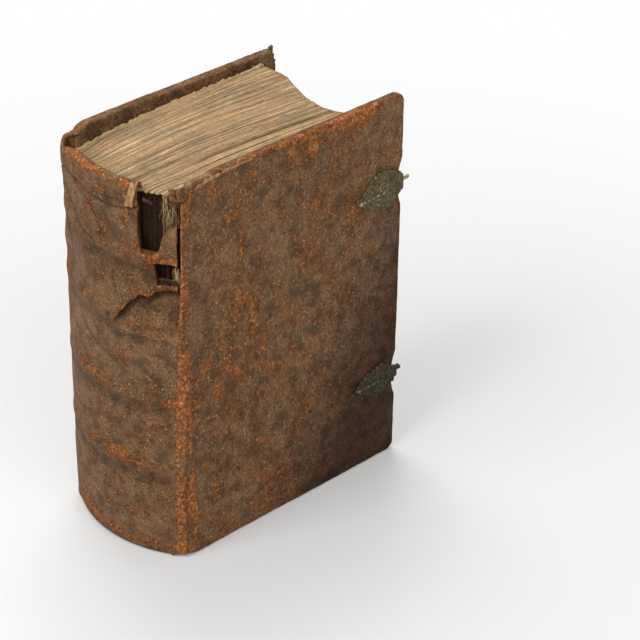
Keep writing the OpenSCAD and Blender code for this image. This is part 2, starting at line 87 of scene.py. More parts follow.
# Driving sizes of the book, as in the construction
COVER_START = 4.65
COVER_T = 5.2
SPINE_RISE = 15.0
FRONT_JOINT_R = 3.0
REAR_JOINT_R = 8.0
CREASE_Y = 4.5
LEATHER_T = 1.3
SKIN_T = 0.6
JOINT_T = 2.2
EDGE_R = 1.4
HALF_T = (front_high[0] - rear_low[0]) / 2
ORIGIN = np.array([(front_high[0] + rear_low[0]) / 2, front_low[1] - COVER_START, 0.0])
BOOK_H = front_high[2]
FRONT_W = front_high[1] - ORIGIN[1]
REAR_W = rear_high[1] - ORIGIN[1] + 0.1
SPINE_R = (HALF_T ** 2 + SPINE_RISE ** 2) / (2 * SPINE_RISE)
SPINE_Y = SPINE_R - SPINE_RISE
BAND_Z = [float(sum(box_mm(f"sewing_cord_{i}")[side][2] for side in (0, 1)) / 2) for i in (1, 2, 3, 4)]


# Shaping helpers

def smooth(x, low, high):
    """0 below low, 1 above high, and a smooth step between them."""
    t = np.clip((x - low) / (high - low), 0, 1)
    return t * t * (3 - 2 * t)


def hump(x, middle, width):
    """A bump of height 1 at middle, 0.37 at a width from it."""
    return np.exp(-((x - middle) / width) ** 2)


def lattice(i, j, k, seed):
    """A fixed number from -1 to 1 for each whole point i, j, k."""
    n = (i * 73856093) ^ (j * 19349663) ^ (k * 83492791) ^ (seed * 26544357)
    n = ((n ^ (n >> 13)) * 1274126177) & 0x7FFFFFFF
    n = ((n ^ (n >> 15)) * 668265263) & 0x7FFFFFFF
    return ((n >> 8) & 0xFFFF) / 32767.5 - 1


def rough(size, seed, *axes, octaves=2):
    """Smooth noise from -1 to 1, with lumps about as wide as size; axes are one to three arrays."""
    axes = np.broadcast_arrays(*axes, *[0.0] * (3 - len(axes)))
    total, weight, weights = 0.0, 1.0, 0.0
    for octave in range(octaves):
        places = [a / size * 2 ** octave + 31.7 * octave for a in axes]
        base = [np.floor(a).astype(np.int64) for a in places]
        share = [(a - b) ** 2 * (3 - 2 * (a - b)) for a, b in zip(places, base)]
        value = 0.0
        for corner in range(8):
            ends = [corner & 1, corner >> 1 & 1, corner >> 2 & 1]
            part = 1.0
            for s, d in zip(share, ends):
                part = part * (s if d else 1 - s)
            value = value + part * lattice(*[b + d for b, d in zip(base, ends)], seed + octave)
        total = total + weight * value
        weights += weight
        weight *= 0.5
    return total / weights


def line_distance(u, v, points):
    """Distance from (u, v) to an open line through points."""
    best = np.full(np.shape(u), 1e9)
    for (a, b), (c, d) in zip(points, points[1:]):
        t = np.clip(((u - a) * (c - a) + (v - b) * (d - b)) / ((c - a) ** 2 + (d - b) ** 2), 0, 1)
        best = np.minimum(best, np.hypot(u - a - t * (c - a), v - b - t * (d - b)))
    return best


def outline_distance(u, v, points):
    """Distance to a closed outline, negative inside it."""
    loop = list(points) + [points[0]]
    inside = np.zeros(np.shape(u), bool)
    for (a, b), (c, d) in zip(loop, loop[1:]):
        if b != d:
            inside ^= ((b > v) != (d > v)) & (u < (c - a) * (v - b) / (d - b) + a)
    return np.where(inside, -1, 1) * line_distance(u, v, loop)


def through(x, *marks):
    """Height at x of the line through marks, each as its place and height, and level beyond its ends."""
    places, heights = zip(*marks)
    return np.interp(x, places, heights)


def fade(distance, width):
    """1 where the distance is 0 or less, and ever less beyond."""
    return np.exp(-np.maximum(distance, 0) / width)


def off_ends(x, width):
    """0 where x is 0 or 1, and 1 from width on between them."""
    return smooth(x, 0, width) * smooth(1 - x, 0, width)


def draws(count, i, row, seed):
    """Fixed numbers from -1 to 1 for item i of a row."""
    return [lattice(i, k, row, seed) for k in range(count)]


def unit(vector):
    """The vector's direction, with length 1."""
    return vector / np.linalg.norm(vector)


def steps(low, high, pitch):
    """Even steps from low to high, about pitch apart."""
    return np.linspace(low, high, max(1, round((high - low) / pitch)) + 1)


def lines(*spans):
    """Grid lines over spans that follow each other, each as its start, its end and its pitch."""
    return np.unique(np.round(np.concatenate([steps(*span) for span in spans]), 5))


def grid_faces(shape):
    """Quads between the neighbouring points of a grid."""
    ids = np.arange(shape[0] * shape[1]).reshape(shape)
    return np.stack([ids[:-1, :-1], ids[1:, :-1], ids[1:, 1:], ids[:-1, 1:]], -1).reshape(-1, 4)


def cut_grid(us, vs, keep):
    """Quads over the lines us and vs where keep(u, v) is positive, their border drawn to its zero line."""
    u, v = np.meshgrid(us, vs, indexing="ij")
    f = keep(u, v)
    stays = (f[:-1, :-1] + f[1:, :-1] + f[1:, 1:] + f[:-1, 1:]) > 0
    touched = np.zeros(f.shape, int)
    for a in (0, 1):
        for b in (0, 1):
            touched[a:f.shape[0] - 1 + a, b:f.shape[1] - 1 + b] |= np.where(stays, 1, 2)
    gu, gv = np.gradient(f, us, vs)
    slope = gu ** 2 + gv ** 2 + 1e-6
    du = np.minimum(np.gradient(us)[:, None], 9) * 0.7
    dv = np.minimum(np.gradient(vs)[None, :], 9) * 0.7
    border = touched == 3
    u = u - np.where(border, np.clip(f * gu / slope, -du, du), 0)
    v = v - np.where(border, np.clip(f * gv / slope, -dv, dv), 0)
    used, faces = np.unique(grid_faces(f.shape)[stays.ravel()], return_inverse=True)
    return u.ravel()[used], v.ravel()[used], keep(u, v).ravel()[used], faces.reshape(-1, 4)


def point_normals(points, faces):
    """Outward directions of length 1 at the points of quads."""
    a, b, c, d = (points[faces[:, i]] for i in range(4))
    flat = np.cross(c - a, d - b)
    normals = np.zeros_like(points)
    for i in range(4):
        np.add.at(normals, faces[:, i], flat)
    return normals / (np.linalg.norm(normals, axis=1, keepdims=True) + 1e-12)


def open_edges(faces):
    """Edges of quads that no other quad shares, in the order in which their quad runs."""
    a = faces.ravel()
    b = np.roll(faces, -1, axis=1).ravel()
    real = a != b
    a, b = a[real], b[real]
    size = int(faces.max()) + 1
    lone = ~np.isin(a * size + b, b * size + a)
    return a[lone], b[lone]


# Points nearer to each other than this are joined
WELD = 0.004


def weld(points, faces, *fields):
    """Joins points that lie on each other."""
    keys = np.round(points / WELD).astype(np.int64)
    _, first, place = np.unique(keys, axis=0, return_index=True, return_inverse=True)
    faces = place.reshape(-1)[faces]
    return [points[first], faces] + [np.asarray(field)[first] for field in fields]


def thicken(points, faces, back, *fields):
    """Closes a sheet with its back points; fields are repeated, and a last one is 1 on the back."""
    count = len(points)
    a, b = open_edges(faces)
    rim = np.stack([b, a, a + count, b + count], 1)
    faces = np.concatenate([faces, faces[:, ::-1] + count, rim])
    doubled = [np.concatenate([field, field]) for field in fields]
    return [np.concatenate([points, back]), faces] + doubled + [np.repeat([0.0, 1.0], count)]


def behind(points, faces, depth):
    """Points at a depth behind a sheet, which is one number or one for each point."""
    return points - point_normals(points, faces) * np.reshape(depth, (-1, 1))


def slab(points, faces, thick):
    """Closed mesh of a sheet with a thickness."""
    return thicken(points, faces, behind(points, faces, thick))[:2]


def joined(*parts):
    """Points and faces of several meshes in one."""
    points, faces, base = [], [], 0
    for part_points, part_faces in parts:
        points.append(part_points)
        faces.append(np.asarray(part_faces) + base)
        base += len(part_points)
    return np.concatenate(points), np.concatenate(faces)


def new_piece(name, points, faces, material, slot, body=None, soft=True, **fields):
    """A mesh piece from points in the book's own axes, with one float attribute for each field."""
    mesh = bpy.data.meshes.new(name)
    rows = []
    for face in np.asarray(faces).tolist():
        row = [p for i, p in enumerate(face) if p != face[i - 1]]
        if len(row) > 2:
            rows.append(row)
    # Nothing goes below the ground that the book stands on
    points = np.asarray(points) + ORIGIN
    points[:, 2] = np.maximum(points[:, 2], GROUND)
    mesh.from_pydata((points * MM).tolist(), [], rows)
    for key, values in fields.items():
        attribute = mesh.attributes.new(key, "FLOAT", "POINT")
        attribute.data.foreach_set("value", np.asarray(values, np.float32))
    mesh.validate()
    if soft:
        mesh.shade_smooth()
    else:
        mesh.shade_flat()
    piece = bpy.data.objects.new(name, mesh)
    bpy.context.scene.collection.objects.link(piece)
    mesh.materials.append(material)
    if body:
        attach(piece, body)
    return piece


def tube(path, radius, sides):
    """Closed tube along a path of points; radius is one number or one for each point."""
    path = np.asarray(path, float)
    radius = np.broadcast_to(radius, len(path))
    ahead = np.gradient(path, axis=0)
    ahead /= np.linalg.norm(ahead, axis=1, keepdims=True) + 1e-9
    ref = np.array([0.31, 0.42, 0.85]) if abs(ahead[0][2]) < 0.9 else np.array([1.0, 0.2, 0.1])
    side = np.cross(ahead, ref)
    side /= np.linalg.norm(side, axis=1, keepdims=True)
    over = np.cross(side, ahead)
    turn = np.arange(sides) * 2 * math.pi / sides
    ring = np.cos(turn)[None, :, None] * side[:, None] + np.sin(turn)[None, :, None] * over[:, None]
    points = (path[:, None] + radius[:, None, None] * ring).reshape(-1, 3)
    ids = np.arange(len(points)).reshape(len(path), sides)
    after = np.roll(ids, -1, axis=1)
    faces = np.stack([ids[:-1], ids[1:], after[1:], after[:-1]], -1).reshape(-1, 4)
    caps = []
    for ring_ids, centre in ((ids[0], path[0]), (ids[-1][::-1], path[-1])):
        hub = len(points)
        points = np.concatenate([points, [centre]])
        caps.append(np.stack([ring_ids, np.roll(ring_ids, -1), np.full(sides, hub), np.full(sides, hub)], 1))
    return points, np.concatenate([faces] + caps)


# Materials

def linear(value):
    """A brightness as it shows on screen, from 0 to 255, as the shader's own number."""
    return ((value / 255 + 0.055) / 1.055) ** 2.4 if value > 10 else value / 255 / 12.92


def tone(red, green, blue):
    """Shader colour of an on-screen one, each part from 0 to 255."""
    return linear(red), linear(green), linear(blue), 1


class NodeWork:
    """A node material, with short calls for the nodes it needs."""

    def __init__(self, name):
        self.material = bpy.data.materials.new(name)
        self.material.use_nodes = True
        self.tree = self.material.node_tree

    def add(self, kind, **settings):
        """A new node with its settings."""
        node = self.tree.nodes.new(kind)
        for key, value in settings.items():
            setattr(node, key, value)
        return node

    def feed(self, socket, value):
        """Links a socket or sets a value."""
        if isinstance(value, bpy.types.NodeSocket):
            self.tree.links.new(value, socket)
        else:
            socket.default_value = value

    def feed_all(self, node, *values):
        """Feeds the node's first inputs in their order."""
        for socket, value in zip(node.inputs, values):
            self.feed(socket, value)

    def maths(self, operation, a, b):
        """One sum of two numbers or sockets."""
        node = self.add("ShaderNodeMath", operation=operation)
        self.feed_all(node, a, b)
        return node.outputs[0]

    def times(self, a, b):
        return self.maths("MULTIPLY", a, b)

    def plus(self, a, b):
        return self.maths("ADD", a, b)

    def between(self, value, low, high, out_low=0.0, out_high=1.0):
        node = self.add("ShaderNodeMapRange", interpolation_type="SMOOTHSTEP")
        self.feed_all(node, value, low, high, out_low, out_high)
        return node.outputs["Result"]


class Finish(NodeWork):
    """A surface on one Principled shader, its patterns sized in millimetres."""

    def __init__(self, name, roughness=0.6, **settings):
        super().__init__(name)
        self.shader = self.tree.nodes["Principled BSDF"]
        self.shader.inputs["Roughness"].default_value = roughness
        for key, value in settings.items():
            self.shader.inputs[key.replace("_", " ")].default_value = value
        coords = self.add("ShaderNodeTexCoord")
        self.place = self.scaled(coords.outputs["Object"], (1 / MM,) * 3)

    def scaled(self, vector, scale, turn=(0, 0, 0)):
        node = self.add("ShaderNodeMapping", vector_type="POINT")
        self.feed(node.inputs["Vector"], vector)
        node.inputs["Scale"].default_value = scale
        node.inputs["Rotation"].default_value = turn
        return node.outputs["Vector"]

    def noise(self, size, detail=3.0, rough_share=0.55, stretch=(1, 1, 1), turn=None, warp=0.0, vector=None):
        """Noise from 0 to 1 with lumps about size mm wide."""
        vector = vector or self.place
        if turn:
            vector = self.scaled(vector, (1, 1, 1), turn)
        node = self.add("ShaderNodeTexNoise")
        self.feed(node.inputs["Vector"], self.scaled(vector, tuple(1 / (size * s) for s in stretch)))
        node.inputs["Scale"].default_value = 1.0
        node.inputs["Detail"].default_value = detail
        node.inputs["Roughness"].default_value = rough_share
        node.inputs["Distortion"].default_value = warp
        return node.outputs["Fac"]

    def cells(self, size):
        """Distance from the nearest of points strewn about size mm apart."""
        node = self.add("ShaderNodeTexVoronoi")
        self.feed(node.inputs["Vector"], self.scaled(self.place, (1 / size,) * 3))
        node.inputs["Scale"].default_value = 1.0
        return node.outputs["Distance"]

    def field(self, name):
        """A float attribute of the mesh."""
        return self.add("ShaderNodeAttribute", attribute_name=name).outputs["Fac"]

    def ramp(self, value, *stops):
        """Colour on a ramp through stops, each as its place and colour."""
        node = self.add("ShaderNodeValToRGB")
        self.feed(node.inputs["Fac"], value)
        marks = node.color_ramp.elements
        while len(marks) < len(stops):
            marks.new(0.5)
        for mark, (place, colour) in zip(marks, stops):
            mark.position = place
            mark.color = tone(*colour)
        return node.outputs["Color"]

    def mix(self, share, a, b, way="MIX"):
        node = self.add("ShaderNodeMix", data_type="RGBA", blend_type=way)
        self.feed(node.inputs["Factor"], share)
        self.feed(node.inputs[6], a)
        self.feed(node.inputs[7], b)
        return node.outputs[2]

    def shade(self, colour, value, low, high):
        """colour made darker and lighter by a value, between the factors low and high."""
        grey = self.between(value, 0.28, 0.72, low, high)
        return self.mix(1.0, colour, grey, "MULTIPLY")

    def bump(self, height, depth, under=None):
        node = self.add("ShaderNodeBump")
        self.feed(node.inputs["Height"], height)
        node.inputs["Distance"].default_value = depth * MM
        node.inputs["Strength"].default_value = 1.0
        if under is not None:
            self.feed(node.inputs["Normal"], under)
        return node.outputs["Normal"]

    def done(self, colour, normal, roughness=None):
        self.feed(self.shader.inputs["Base Color"], colour)
        self.feed(self.shader.inputs["Normal"], normal)
        if roughness is not None:
            self.feed(self.shader.inputs["Roughness"], roughness)
        return self.material


def dyed_calf(f, grain, scuffed):
    """Colour of the dyed skin with its patches, its grain and flecks where it is scuffed, and scratches."""
    flecks = f.noise(1.7, 4, 0.85, warp=1.2)
    colour = f.ramp(f.noise(30, 4, 0.6), (0.32, (76, 58, 40)), (0.5, (92, 69, 49)), (0.68, (108, 83, 62)))
    colour = f.mix(f.between(f.noise(9, 4, 0.6, warp=0.8), 0.5, 0.64, 0, 0.6), colour, tone(96, 58, 37))
    colour = f.mix(f.between(f.noise(15, 4, 0.6, warp=1.0), 0.5, 0.64, 0, 0.7), colour, tone(76, 67, 50))
    light = f.mix(1.0, colour, (3.2, 2.65, 2.1, 1), "MULTIPLY")
    lighter = f.times(f.between(flecks, 0.51, 0.6), f.between(scuffed, 0, 1, 0.22, 0.8))
    darker = f.times(f.between(flecks, 0.49, 0.41), f.between(scuffed, 0, 1, 0.25, 0.8))
    colour = f.mix(f.times(grain, f.between(scuffed, 0, 1, 0.12, 0.4)), colour, light)
    colour = f.mix(lighter, colour, light)
    colour = f.mix(darker, colour, tone(44, 33, 21))
    # Fine scratches in several directions
    for turn, size in ((0.5, 1.0), (-0.7, 1.2), (1.45, 1.1), (1.0, 1.2), (-0.2, 1.1)):
        scratch = f.noise(1.5 * size, 2, 0.5, stretch=(0.2, 0.2, 6), turn=(turn, 0.3 * turn, 0.2))
        gate = f.times(f.between(scratch, 0.59, 0.66), f.between(f.noise(8, 3), 0.36, 0.56, 0, 0.9))
        colour = f.mix(gate, colour, tone(176, 134, 94))
    return colour


def bare_calf(f):
    """Colour of the skin where its dyed face is rubbed away, pitted."""
    stops = (0.38, (86, 50, 24)), (0.47, (146, 83, 38)), (0.55, (182, 108, 50)), (0.64, (212, 162, 108))
    colour = f.ramp(f.noise(1.9, 4, 0.9), *stops)
    return f.mix(f.between(f.noise(1.5, 3, 0.7), 0.57, 0.66, 0, 0.75), colour, tone(82, 46, 24))


def leather_finish(name):
    """Brown calf, rubbed to orange where wear is high, darkened by a field that holds painted shade and a
    darkening towards the front's fore-edge, fibrous where back is 1.
    """
    f = Finish(name, Specular_IOR_Level=0.13)
    patch = f.between(f.noise(6.5, 5, 0.65, warp=0.5), 0.34, 0.66)
    grain = f.between(f.noise(1.7, 4, 0.85), 0.38, 0.62)
    fine = f.between(f.noise(1.0, 3, 0.8), 0.38, 0.62)
    # The skin's smooth face is left in some places and scuffed off in others
    scuffed = f.between(f.noise(13, 5, 0.68, warp=0.8), 0.45, 0.58)
    # Rub marks: the wear breaks up through the grain
    broken = f.plus(f.times(patch, 0.38), f.times(grain, 0.5))
    broken = f.plus(broken, f.times(fine, 0.36))
    broken = f.maths("SUBTRACT", broken, f.times(f.field("soot"), 0.3))
    broken = f.plus(broken, f.times(scuffed, 0.14))
    rub = f.between(f.plus(f.field("wear"), broken), 1.07, 1.3)
    colour = f.mix(f.times(rub, 0.85), dyed_calf(f, grain, scuffed), bare_calf(f))
    # Small pale specks
    specks = f.times(f.between(f.cells(3.0), 0.17, 0.1), f.between(f.noise(9, 2), 0.46, 0.56))
    colour = f.mix(specks, colour, tone(186, 160, 130))
    # Darkened by painted shade in the creases, under the bands, over the spine and in the torn places, and
    # towards the front's fore-edge and tail
    darkened = f.mix(1.0, colour, tone(116, 98, 70), "MULTIPLY")
    colour = f.mix(f.times(f.field("soot"), 0.9), colour, darkened)
    fibre = f.noise(0.9, 4, 0.7, stretch=(1, 1, 4))
    back = f.ramp(fibre, (0.3, (84, 52, 32)), (0.5, (130, 88, 54)), (0.7, (172, 128, 86)))
    colour = f.mix(f.field("back"), colour, back)
    normal = f.bump(f.cells(0.8), 0.07)
    for height, depth in ((grain, 0.18), (patch, 0.35), (rub, 0.12)):
        normal = f.bump(height, depth, normal)
    gloss = f.between(f.plus(grain, f.times(rub, 0.6)), 0.0, 1.4, 0.52, 0.85)
    return f.done(colour, normal, gloss)


def aged_paper(f, fibre):
    """Colour of a whole sheet of rag paper: toned unevenly, with small foxed spots."""
    cloud = f.noise(48, 5, 0.55)
    colour = f.ramp(cloud, (0.34, (176, 149, 107)), (0.5, (187, 161, 119)), (0.66, (196, 171, 129)))
    colour = f.mix(f.between(f.noise(5, 4, 0.6), 0.6, 0.74, 0, 0.4), colour, tone(150, 112, 70))
    colour = f.mix(f.between(f.cells(7), 0.12, 0.04, 0, 0.5), colour, tone(134, 90, 52))
    return f.shade(colour, fibre, 0.92, 1.07)


def leaves_finish(name):
    """Edges of old leaves: fine streaks across the leaf attribute, dusty, with painted shade in the gaps and
    glued folds darkened further for shade.
    """
    f = Finish(name, 0.9, Specular_IOR_Level=0.15)
    apart = f.add("ShaderNodeSeparateXYZ")
    f.feed(apart.inputs[0], f.place)
    leaf = f.add("ShaderNodeCombineXYZ")
    f.feed_all(leaf, f.field("leaf"), apart.outputs["Y"], apart.outputs["Z"])
    along = leaf.outputs[0]
    thin = f.noise(1.2, 3, 0.8, stretch=(1, 70, 70), vector=along)
    short = f.noise(0.9, 3, 0.7, stretch=(1, 7, 7), vector=along)
    group = f.noise(2.4, 4, 0.75, stretch=(1, 60, 60), vector=along)
    dust = f.noise(20, 4, 0.6)
    spots = f.noise(1.6, 4, 0.7)
    colour = f.ramp(group, (0.34, (132, 104, 72)), (0.5, (162, 132, 95)), (0.64, (186, 156, 115)))
    colour = f.mix(f.between(dust, 0.4, 0.62, 0, 0.6), colour, tone(140, 122, 92))
    colour = f.shade(colour, thin, 0.5, 1.42)
    colour = f.shade(colour, short, 0.74, 1.2)
    colour = f.shade(colour, spots, 0.78, 1.14)
    # Painted shade where the gap field is high: in the slits between leaves and on the folds
    colour = f.mix(f.times(f.field("gap"), 0.92), colour, tone(78, 54, 32))
    # Dark brown where the glue field is high: old glue on the folds, which also stands for shade in the
    # hollow behind the openings and near the fold of the outer leaves
    colour = f.mix(f.field("glue"), colour, f.shade(tone(46, 29, 17), spots, 0.6, 1.5))
    normal = f.bump(thin, 0.2)
    normal = f.bump(short, 0.2, normal)
    normal = f.bump(group, 0.45, normal)
    colour = f.mix(f.field("sheet"), colour, aged_paper(f, spots))
    return f.done(colour, normal)


def paper_finish(name):
    """Sheets of old rag paper."""
    f = Finish(name, 0.85, Specular_IOR_Level=0.2)
    fibre = f.noise(0.8, 3, 0.6)
    return f.done(aged_paper(f, fibre), f.bump(fibre, 0.12))


def browned_finish(name):
    """Torn folds of paper, brown with old glue, with paler streaks up and down."""
    f = Finish(name, 0.9, Specular_IOR_Level=0.15)
    streak = f.noise(0.45, 4, 0.75, stretch=(1, 1, 9))
    stops = (0.34, (50, 32, 19)), (0.48, (98, 68, 42)), (0.58, (150, 118, 84)), (0.68, (204, 178, 140))
    colour = f.ramp(streak, *stops)
    return f.done(f.shade(colour, f.noise(3, 4, 0.7), 0.7, 1.15), f.bump(streak, 0.4))


def wood_finish(name):
    """Old oak with long rings and dark pores."""
    f = Finish(name, 0.7, Specular_IOR_Level=0.3)
    rings = f.noise(2.2, 4, 0.6, stretch=(1, 1, 22), warp=0.4)
    pores = f.noise(0.6, 2, 0.5, stretch=(1, 1, 14))
    colour = f.ramp(rings, (0.3, (88, 62, 40)), (0.5, (124, 92, 60)), (0.7, (148, 114, 78)))
    return f.done(f.shade(colour, pores, 0.78, 1.1), f.bump(pores, 0.15))


def cord_finish(name):
    """Twisted hemp under old brown glue."""
    f = Finish(name, 0.8, Specular_IOR_Level=0.2)
    twist = f.noise(0.9, 3, 0.6, stretch=(1, 1, 0.5), turn=(0.6, 0, 0.4))
    colour = f.ramp(twist, (0.3, (52, 34, 20)), (0.55, (92, 64, 38)), (0.75, (134, 100, 64)))
    return f.done(f.shade(colour, f.noise(6, 3), 0.7, 1.15), f.bump(twist, 0.4))


def lining_finish(name):
    """Parchment and leather scraps under old brown glue."""
    f = Finish(name, 0.55, Specular_IOR_Level=0.35)
    streak = f.noise(1.6, 4, 0.65, stretch=(1, 1, 7))
    colour = f.ramp(streak, (0.3, (38, 24, 13)), (0.55, (58, 38, 22)), (0.8, (92, 62, 38)))
    return f.done(f.shade(colour, f.noise(7, 3), 0.7, 1.2), f.bump(streak, 0.5))


def parchment_finish(name):
    """Old limp skin and flesh side, tan with brown streaks."""
    f = Finish(name, 0.8, Specular_IOR_Level=0.2)
    streak = f.noise(0.8, 4, 0.7, stretch=(1, 1, 4))
    colour = f.ramp(streak, (0.3, (118, 80, 50)), (0.5, (164, 124, 84)), (0.7, (196, 158, 114)))
    return f.done(f.shade(colour, f.noise(2.6, 4, 0.7), 0.7, 1.15), f.bump(streak, 0.25))


def brass_finish(name, painted_light):
    """Cast brass gone dark olive, its high spots rubbed pale and lit with painted highlights; the relief
    attribute is 1 on them. All its colours are scaled up for painted light or down for painted shade.
    """
    f = Finish(name, 0.45, Metallic=0.75)
    dirt = f.noise(1.1, 4, 0.7)
    broad = f.noise(5, 3)
    stops = (0.3, (54, 48, 32)), (0.55, (92, 84, 60)), (0.75, (128, 116, 82))
    colour = f.ramp(dirt, *[(place, [painted_light * c for c in shade]) for place, shade in stops])
    colour = f.shade(colour, broad, 0.75, 1.2)
    high = f.between(f.plus(f.field("relief"), f.times(dirt, 0.7)), 0.95, 1.35)
    colour = f.mix(f.times(high, 0.8), colour, tone(*(painted_light * c for c in (172, 158, 112))))
    normal = f.bump(dirt, 0.25)
    return f.done(colour, normal, f.between(dirt, 0.3, 0.75, 0.62, 0.38))


LEATHER = leather_finish("worn_calf")
LEAVES = leaves_finish("leaf_edges")
PAPER = paper_finish("rag_paper")
BROWNED = browned_finish("browned_folds")
OAK = wood_finish("oak_board")
HEMP = cord_finish("hemp_twist")
GLUED = lining_finish("glued_lining")
PARCHMENT = parchment_finish("limp_parchment")
# Lit and shaded copies of the brass: the upper catch's made lighter for painted light, the lower catch's
# darker for painted shade
BRASS = {"upper": brass_finish("cast_brass", 1.14), "lower": brass_finish("shaded_cast_brass", 0.74)}


# Leather face of the whole book, unrolled: s runs round the book from the middle of the spine

def joint_corner(radius):
    """Turn, middle, start and end of a rounded spine corner, the last two as lengths round the book."""
    turn = math.asin((HALF_T - radius) / (SPINE_R - radius))
    middle_y = SPINE_Y - (SPINE_R - radius) * math.cos(turn)
    start = SPINE_R * turn
    return turn, middle_y, start, start + radius * (math.pi / 2 - turn)


FRONT_CORNER = joint_corner(FRONT_JOINT_R)
REAR_CORNER = joint_corner(REAR_JOINT_R)


def rear_bulge(s, z):
    """How far the leather of the rear joint, come away from its board, stands out."""
    out = through(z, (0, 0.7), (60, 1.1), (122, 1.8), (145, 1.5), (153, 2.7), (163, 1.6), (177, 1.7),
                  (190, 2.6), (201, 3.0))
    return out * smooth(-s, 29, 42) * (1 - smooth(-s, 45.5, 49.3))


def around(s, z, lift=0.0):
    """Points on the leather face at length s round the book and height z, lifted off it."""
    lift = lift + rear_bulge(s, z)
    far = np.abs(s)
    side = np.where(s < 0, -1.0, 1.0)
    radius = np.where(s < 0, REAR_JOINT_R, FRONT_JOINT_R)
    _, mid_y, start, end = (np.where(s < 0, r, f) for r, f in zip(REAR_CORNER, FRONT_CORNER))
    turn = np.minimum(far, start) / SPINE_R + (np.clip(far, start, end) - start) / radius
    nx, ny = np.sin(turn), -np.cos(turn)
    on_spine = far <= start
    x = np.where(on_spine, SPINE_R * nx, HALF_T - radius + radius * nx)
    y = np.where(on_spine, SPINE_Y + SPINE_R * ny, mid_y + radius * ny) + np.maximum(far - end, 0)
    return np.stack(np.broadcast_arrays(side * (x + lift * nx), y + lift * ny, z), -1)


def reach(s):
    """How far s lies past the spine's corner line, as the unrolled y of a cover."""
    corner = [np.where(s < 0, r, f) for r, f in zip(REAR_CORNER, FRONT_CORNER)]
    return np.abs(s) - corner[3] + corner[1]


def s_of(y, side):
    """Length round the book at an unrolled y of the front cover, side 1, or the rear one, side -1."""
    corner = FRONT_CORNER if side > 0 else REAR_CORNER
    return side * (y - corner[1] + corner[3])


def arc(angle):
    """Length round the book of an angle on the spine, in degrees."""
    return SPINE_R * math.radians(angle)


def on_arc(points):
    """Points given as angle on the spine and height, with the angle as a length."""
    return [(arc(angle), z) for angle, z in points]


# Wrinkles and grooves in the leather: line as angle on the spine and height, depth and half width
CREASES = [
    (on_arc([(-44, 190.5), (-30, 192.5), (-12, 193), (4, 192), (14, 193), (19, 195)]), 0.55, 0.9),
    (on_arc([(-38, 186), (-28, 181), (-16, 174), (-4, 169.5)]), 0.4, 1.5),
    (on_arc([(-20, 192), (-7, 188.5), (0, 178.5), (2, 172)]), 0.2, 1.2),
    (on_arc([(8.4, 146), (8.1, 150), (7.4, 154), (7.6, 158)]), 0.5, 0.6),
    (on_arc([(-16, 120), (-6, 112), (6, 108)]), 0.15, 1.2),
    ([(46.3, 62), (46.5, 50), (46.1, 38), (46.6, 26), (46.4, 2)], 0.6, 0.6),
]
# Height and half width of the raised bands
BAND_RISE = 1.5
BAND_HALF = 6.0


def relief(s, z):
    """How far the leather stands out of its plain surface."""
    cover = smooth(np.abs(s), 46, 54)
    spine = 1 - cover
    shown = np.where(s < 0, 1 - 0.72 * smooth(-s, 26, 46), 1 - smooth(s, 34, 44))
    rise = 0.0
    for i, band_z in enumerate(BAND_Z):
        waver = band_z + 0.6 * rough(18, 40 + i, s)
        rise = rise + np.clip(1 - ((z - waver) / BAND_HALF) ** 2, 0, 1) ** 1.5
    height = BAND_RISE * rise * shown * spine
    height = height + rough(30, 1, s, z) * (0.55 * spine + 0.16 * cover)
    height = height + rough(8, 2, s, z) * (0.2 * spine + 0.07 * cover)
    height = height + rough(3, 3, s, z / 6) * 0.1 * spine + rough(2.2, 4, s, z) * 0.05
    for i, (line, depth, half) in enumerate(CREASES):
        uneven = np.clip(0.75 + 0.7 * rough(9, 50 + i, s, z), 0, 1.3)
        height = height - depth * uneven * hump(line_distance(s, z, line), 0, half)
    return height


# Rubbed places: s or cover y, height, half sizes and strength
SPINE_RUBS = [
    (arc(-5), 187, 3, 9, 0.5), (arc(3), 180, 2.5, 8, 0.5), (arc(14.8), 191, 1.8, 6, 0.9),
    (arc(9), 112, 4, 3, 0.45), (arc(24), 105, 4, 3, 0.4), (arc(13.5), 81, 4, 3, 0.4),
    (arc(4.9), 55, 2, 5, 0.7), (arc(10.5), 55, 2, 5, 0.8), (arc(22), 53.5, 12, 0.9, 0.75),
    (arc(7), 22, 8, 0.7, 0.7), (arc(-34), 135, 4, 6, 0.6), (arc(-33), 113, 3, 9, 0.5),
    (arc(-37), 171, 3, 4, 0.5), (arc(33), 92, 4, 4, 0.6), (arc(24), 132, 10, 2, 0.5),
    (arc(18), 136, 9, 3, 0.35), (arc(0), 93, 18, 4, 0.3), (arc(-24), 60, 6, 14, 0.25),
    (arc(-12), 12, 14, 5, 0.4), (arc(30), 12, 8, 5, 0.3),
]
FRONT_RUBS = [
    (70, 206, 3.5, 4.5, 1.0), (84, 202.5, 4, 5, 1.0), (73, 196.5, 3, 2, 0.9), (97, 208, 9, 3.5, 0.9),
    (110, 207.5, 9, 4.5, 0.95), (124, 208, 7, 4, 0.8), (43, 202, 1.6, 9, 0.75), (31, 184, 4, 6, 0.7),
    (36.5, 160, 1.6, 15, 0.7), (19, 160, 1.8, 9, 0.6), (35.4, 137.5, 2, 3, 0.8), (44, 126, 6, 18, 0.3),
    (38, 116, 3, 3, 0.6), (16, 111, 3, 3, 0.5), (85, 169.5, 6, 4, 0.45), (98.6, 160, 9, 3, 0.4),
    (112, 155.6, 3, 4, 0.6), (64.5, 174, 2, 4, 0.6), (36.5, 1.2, 8, 1.5, 0.6), (26, 80, 9, 30, 0.18),
]
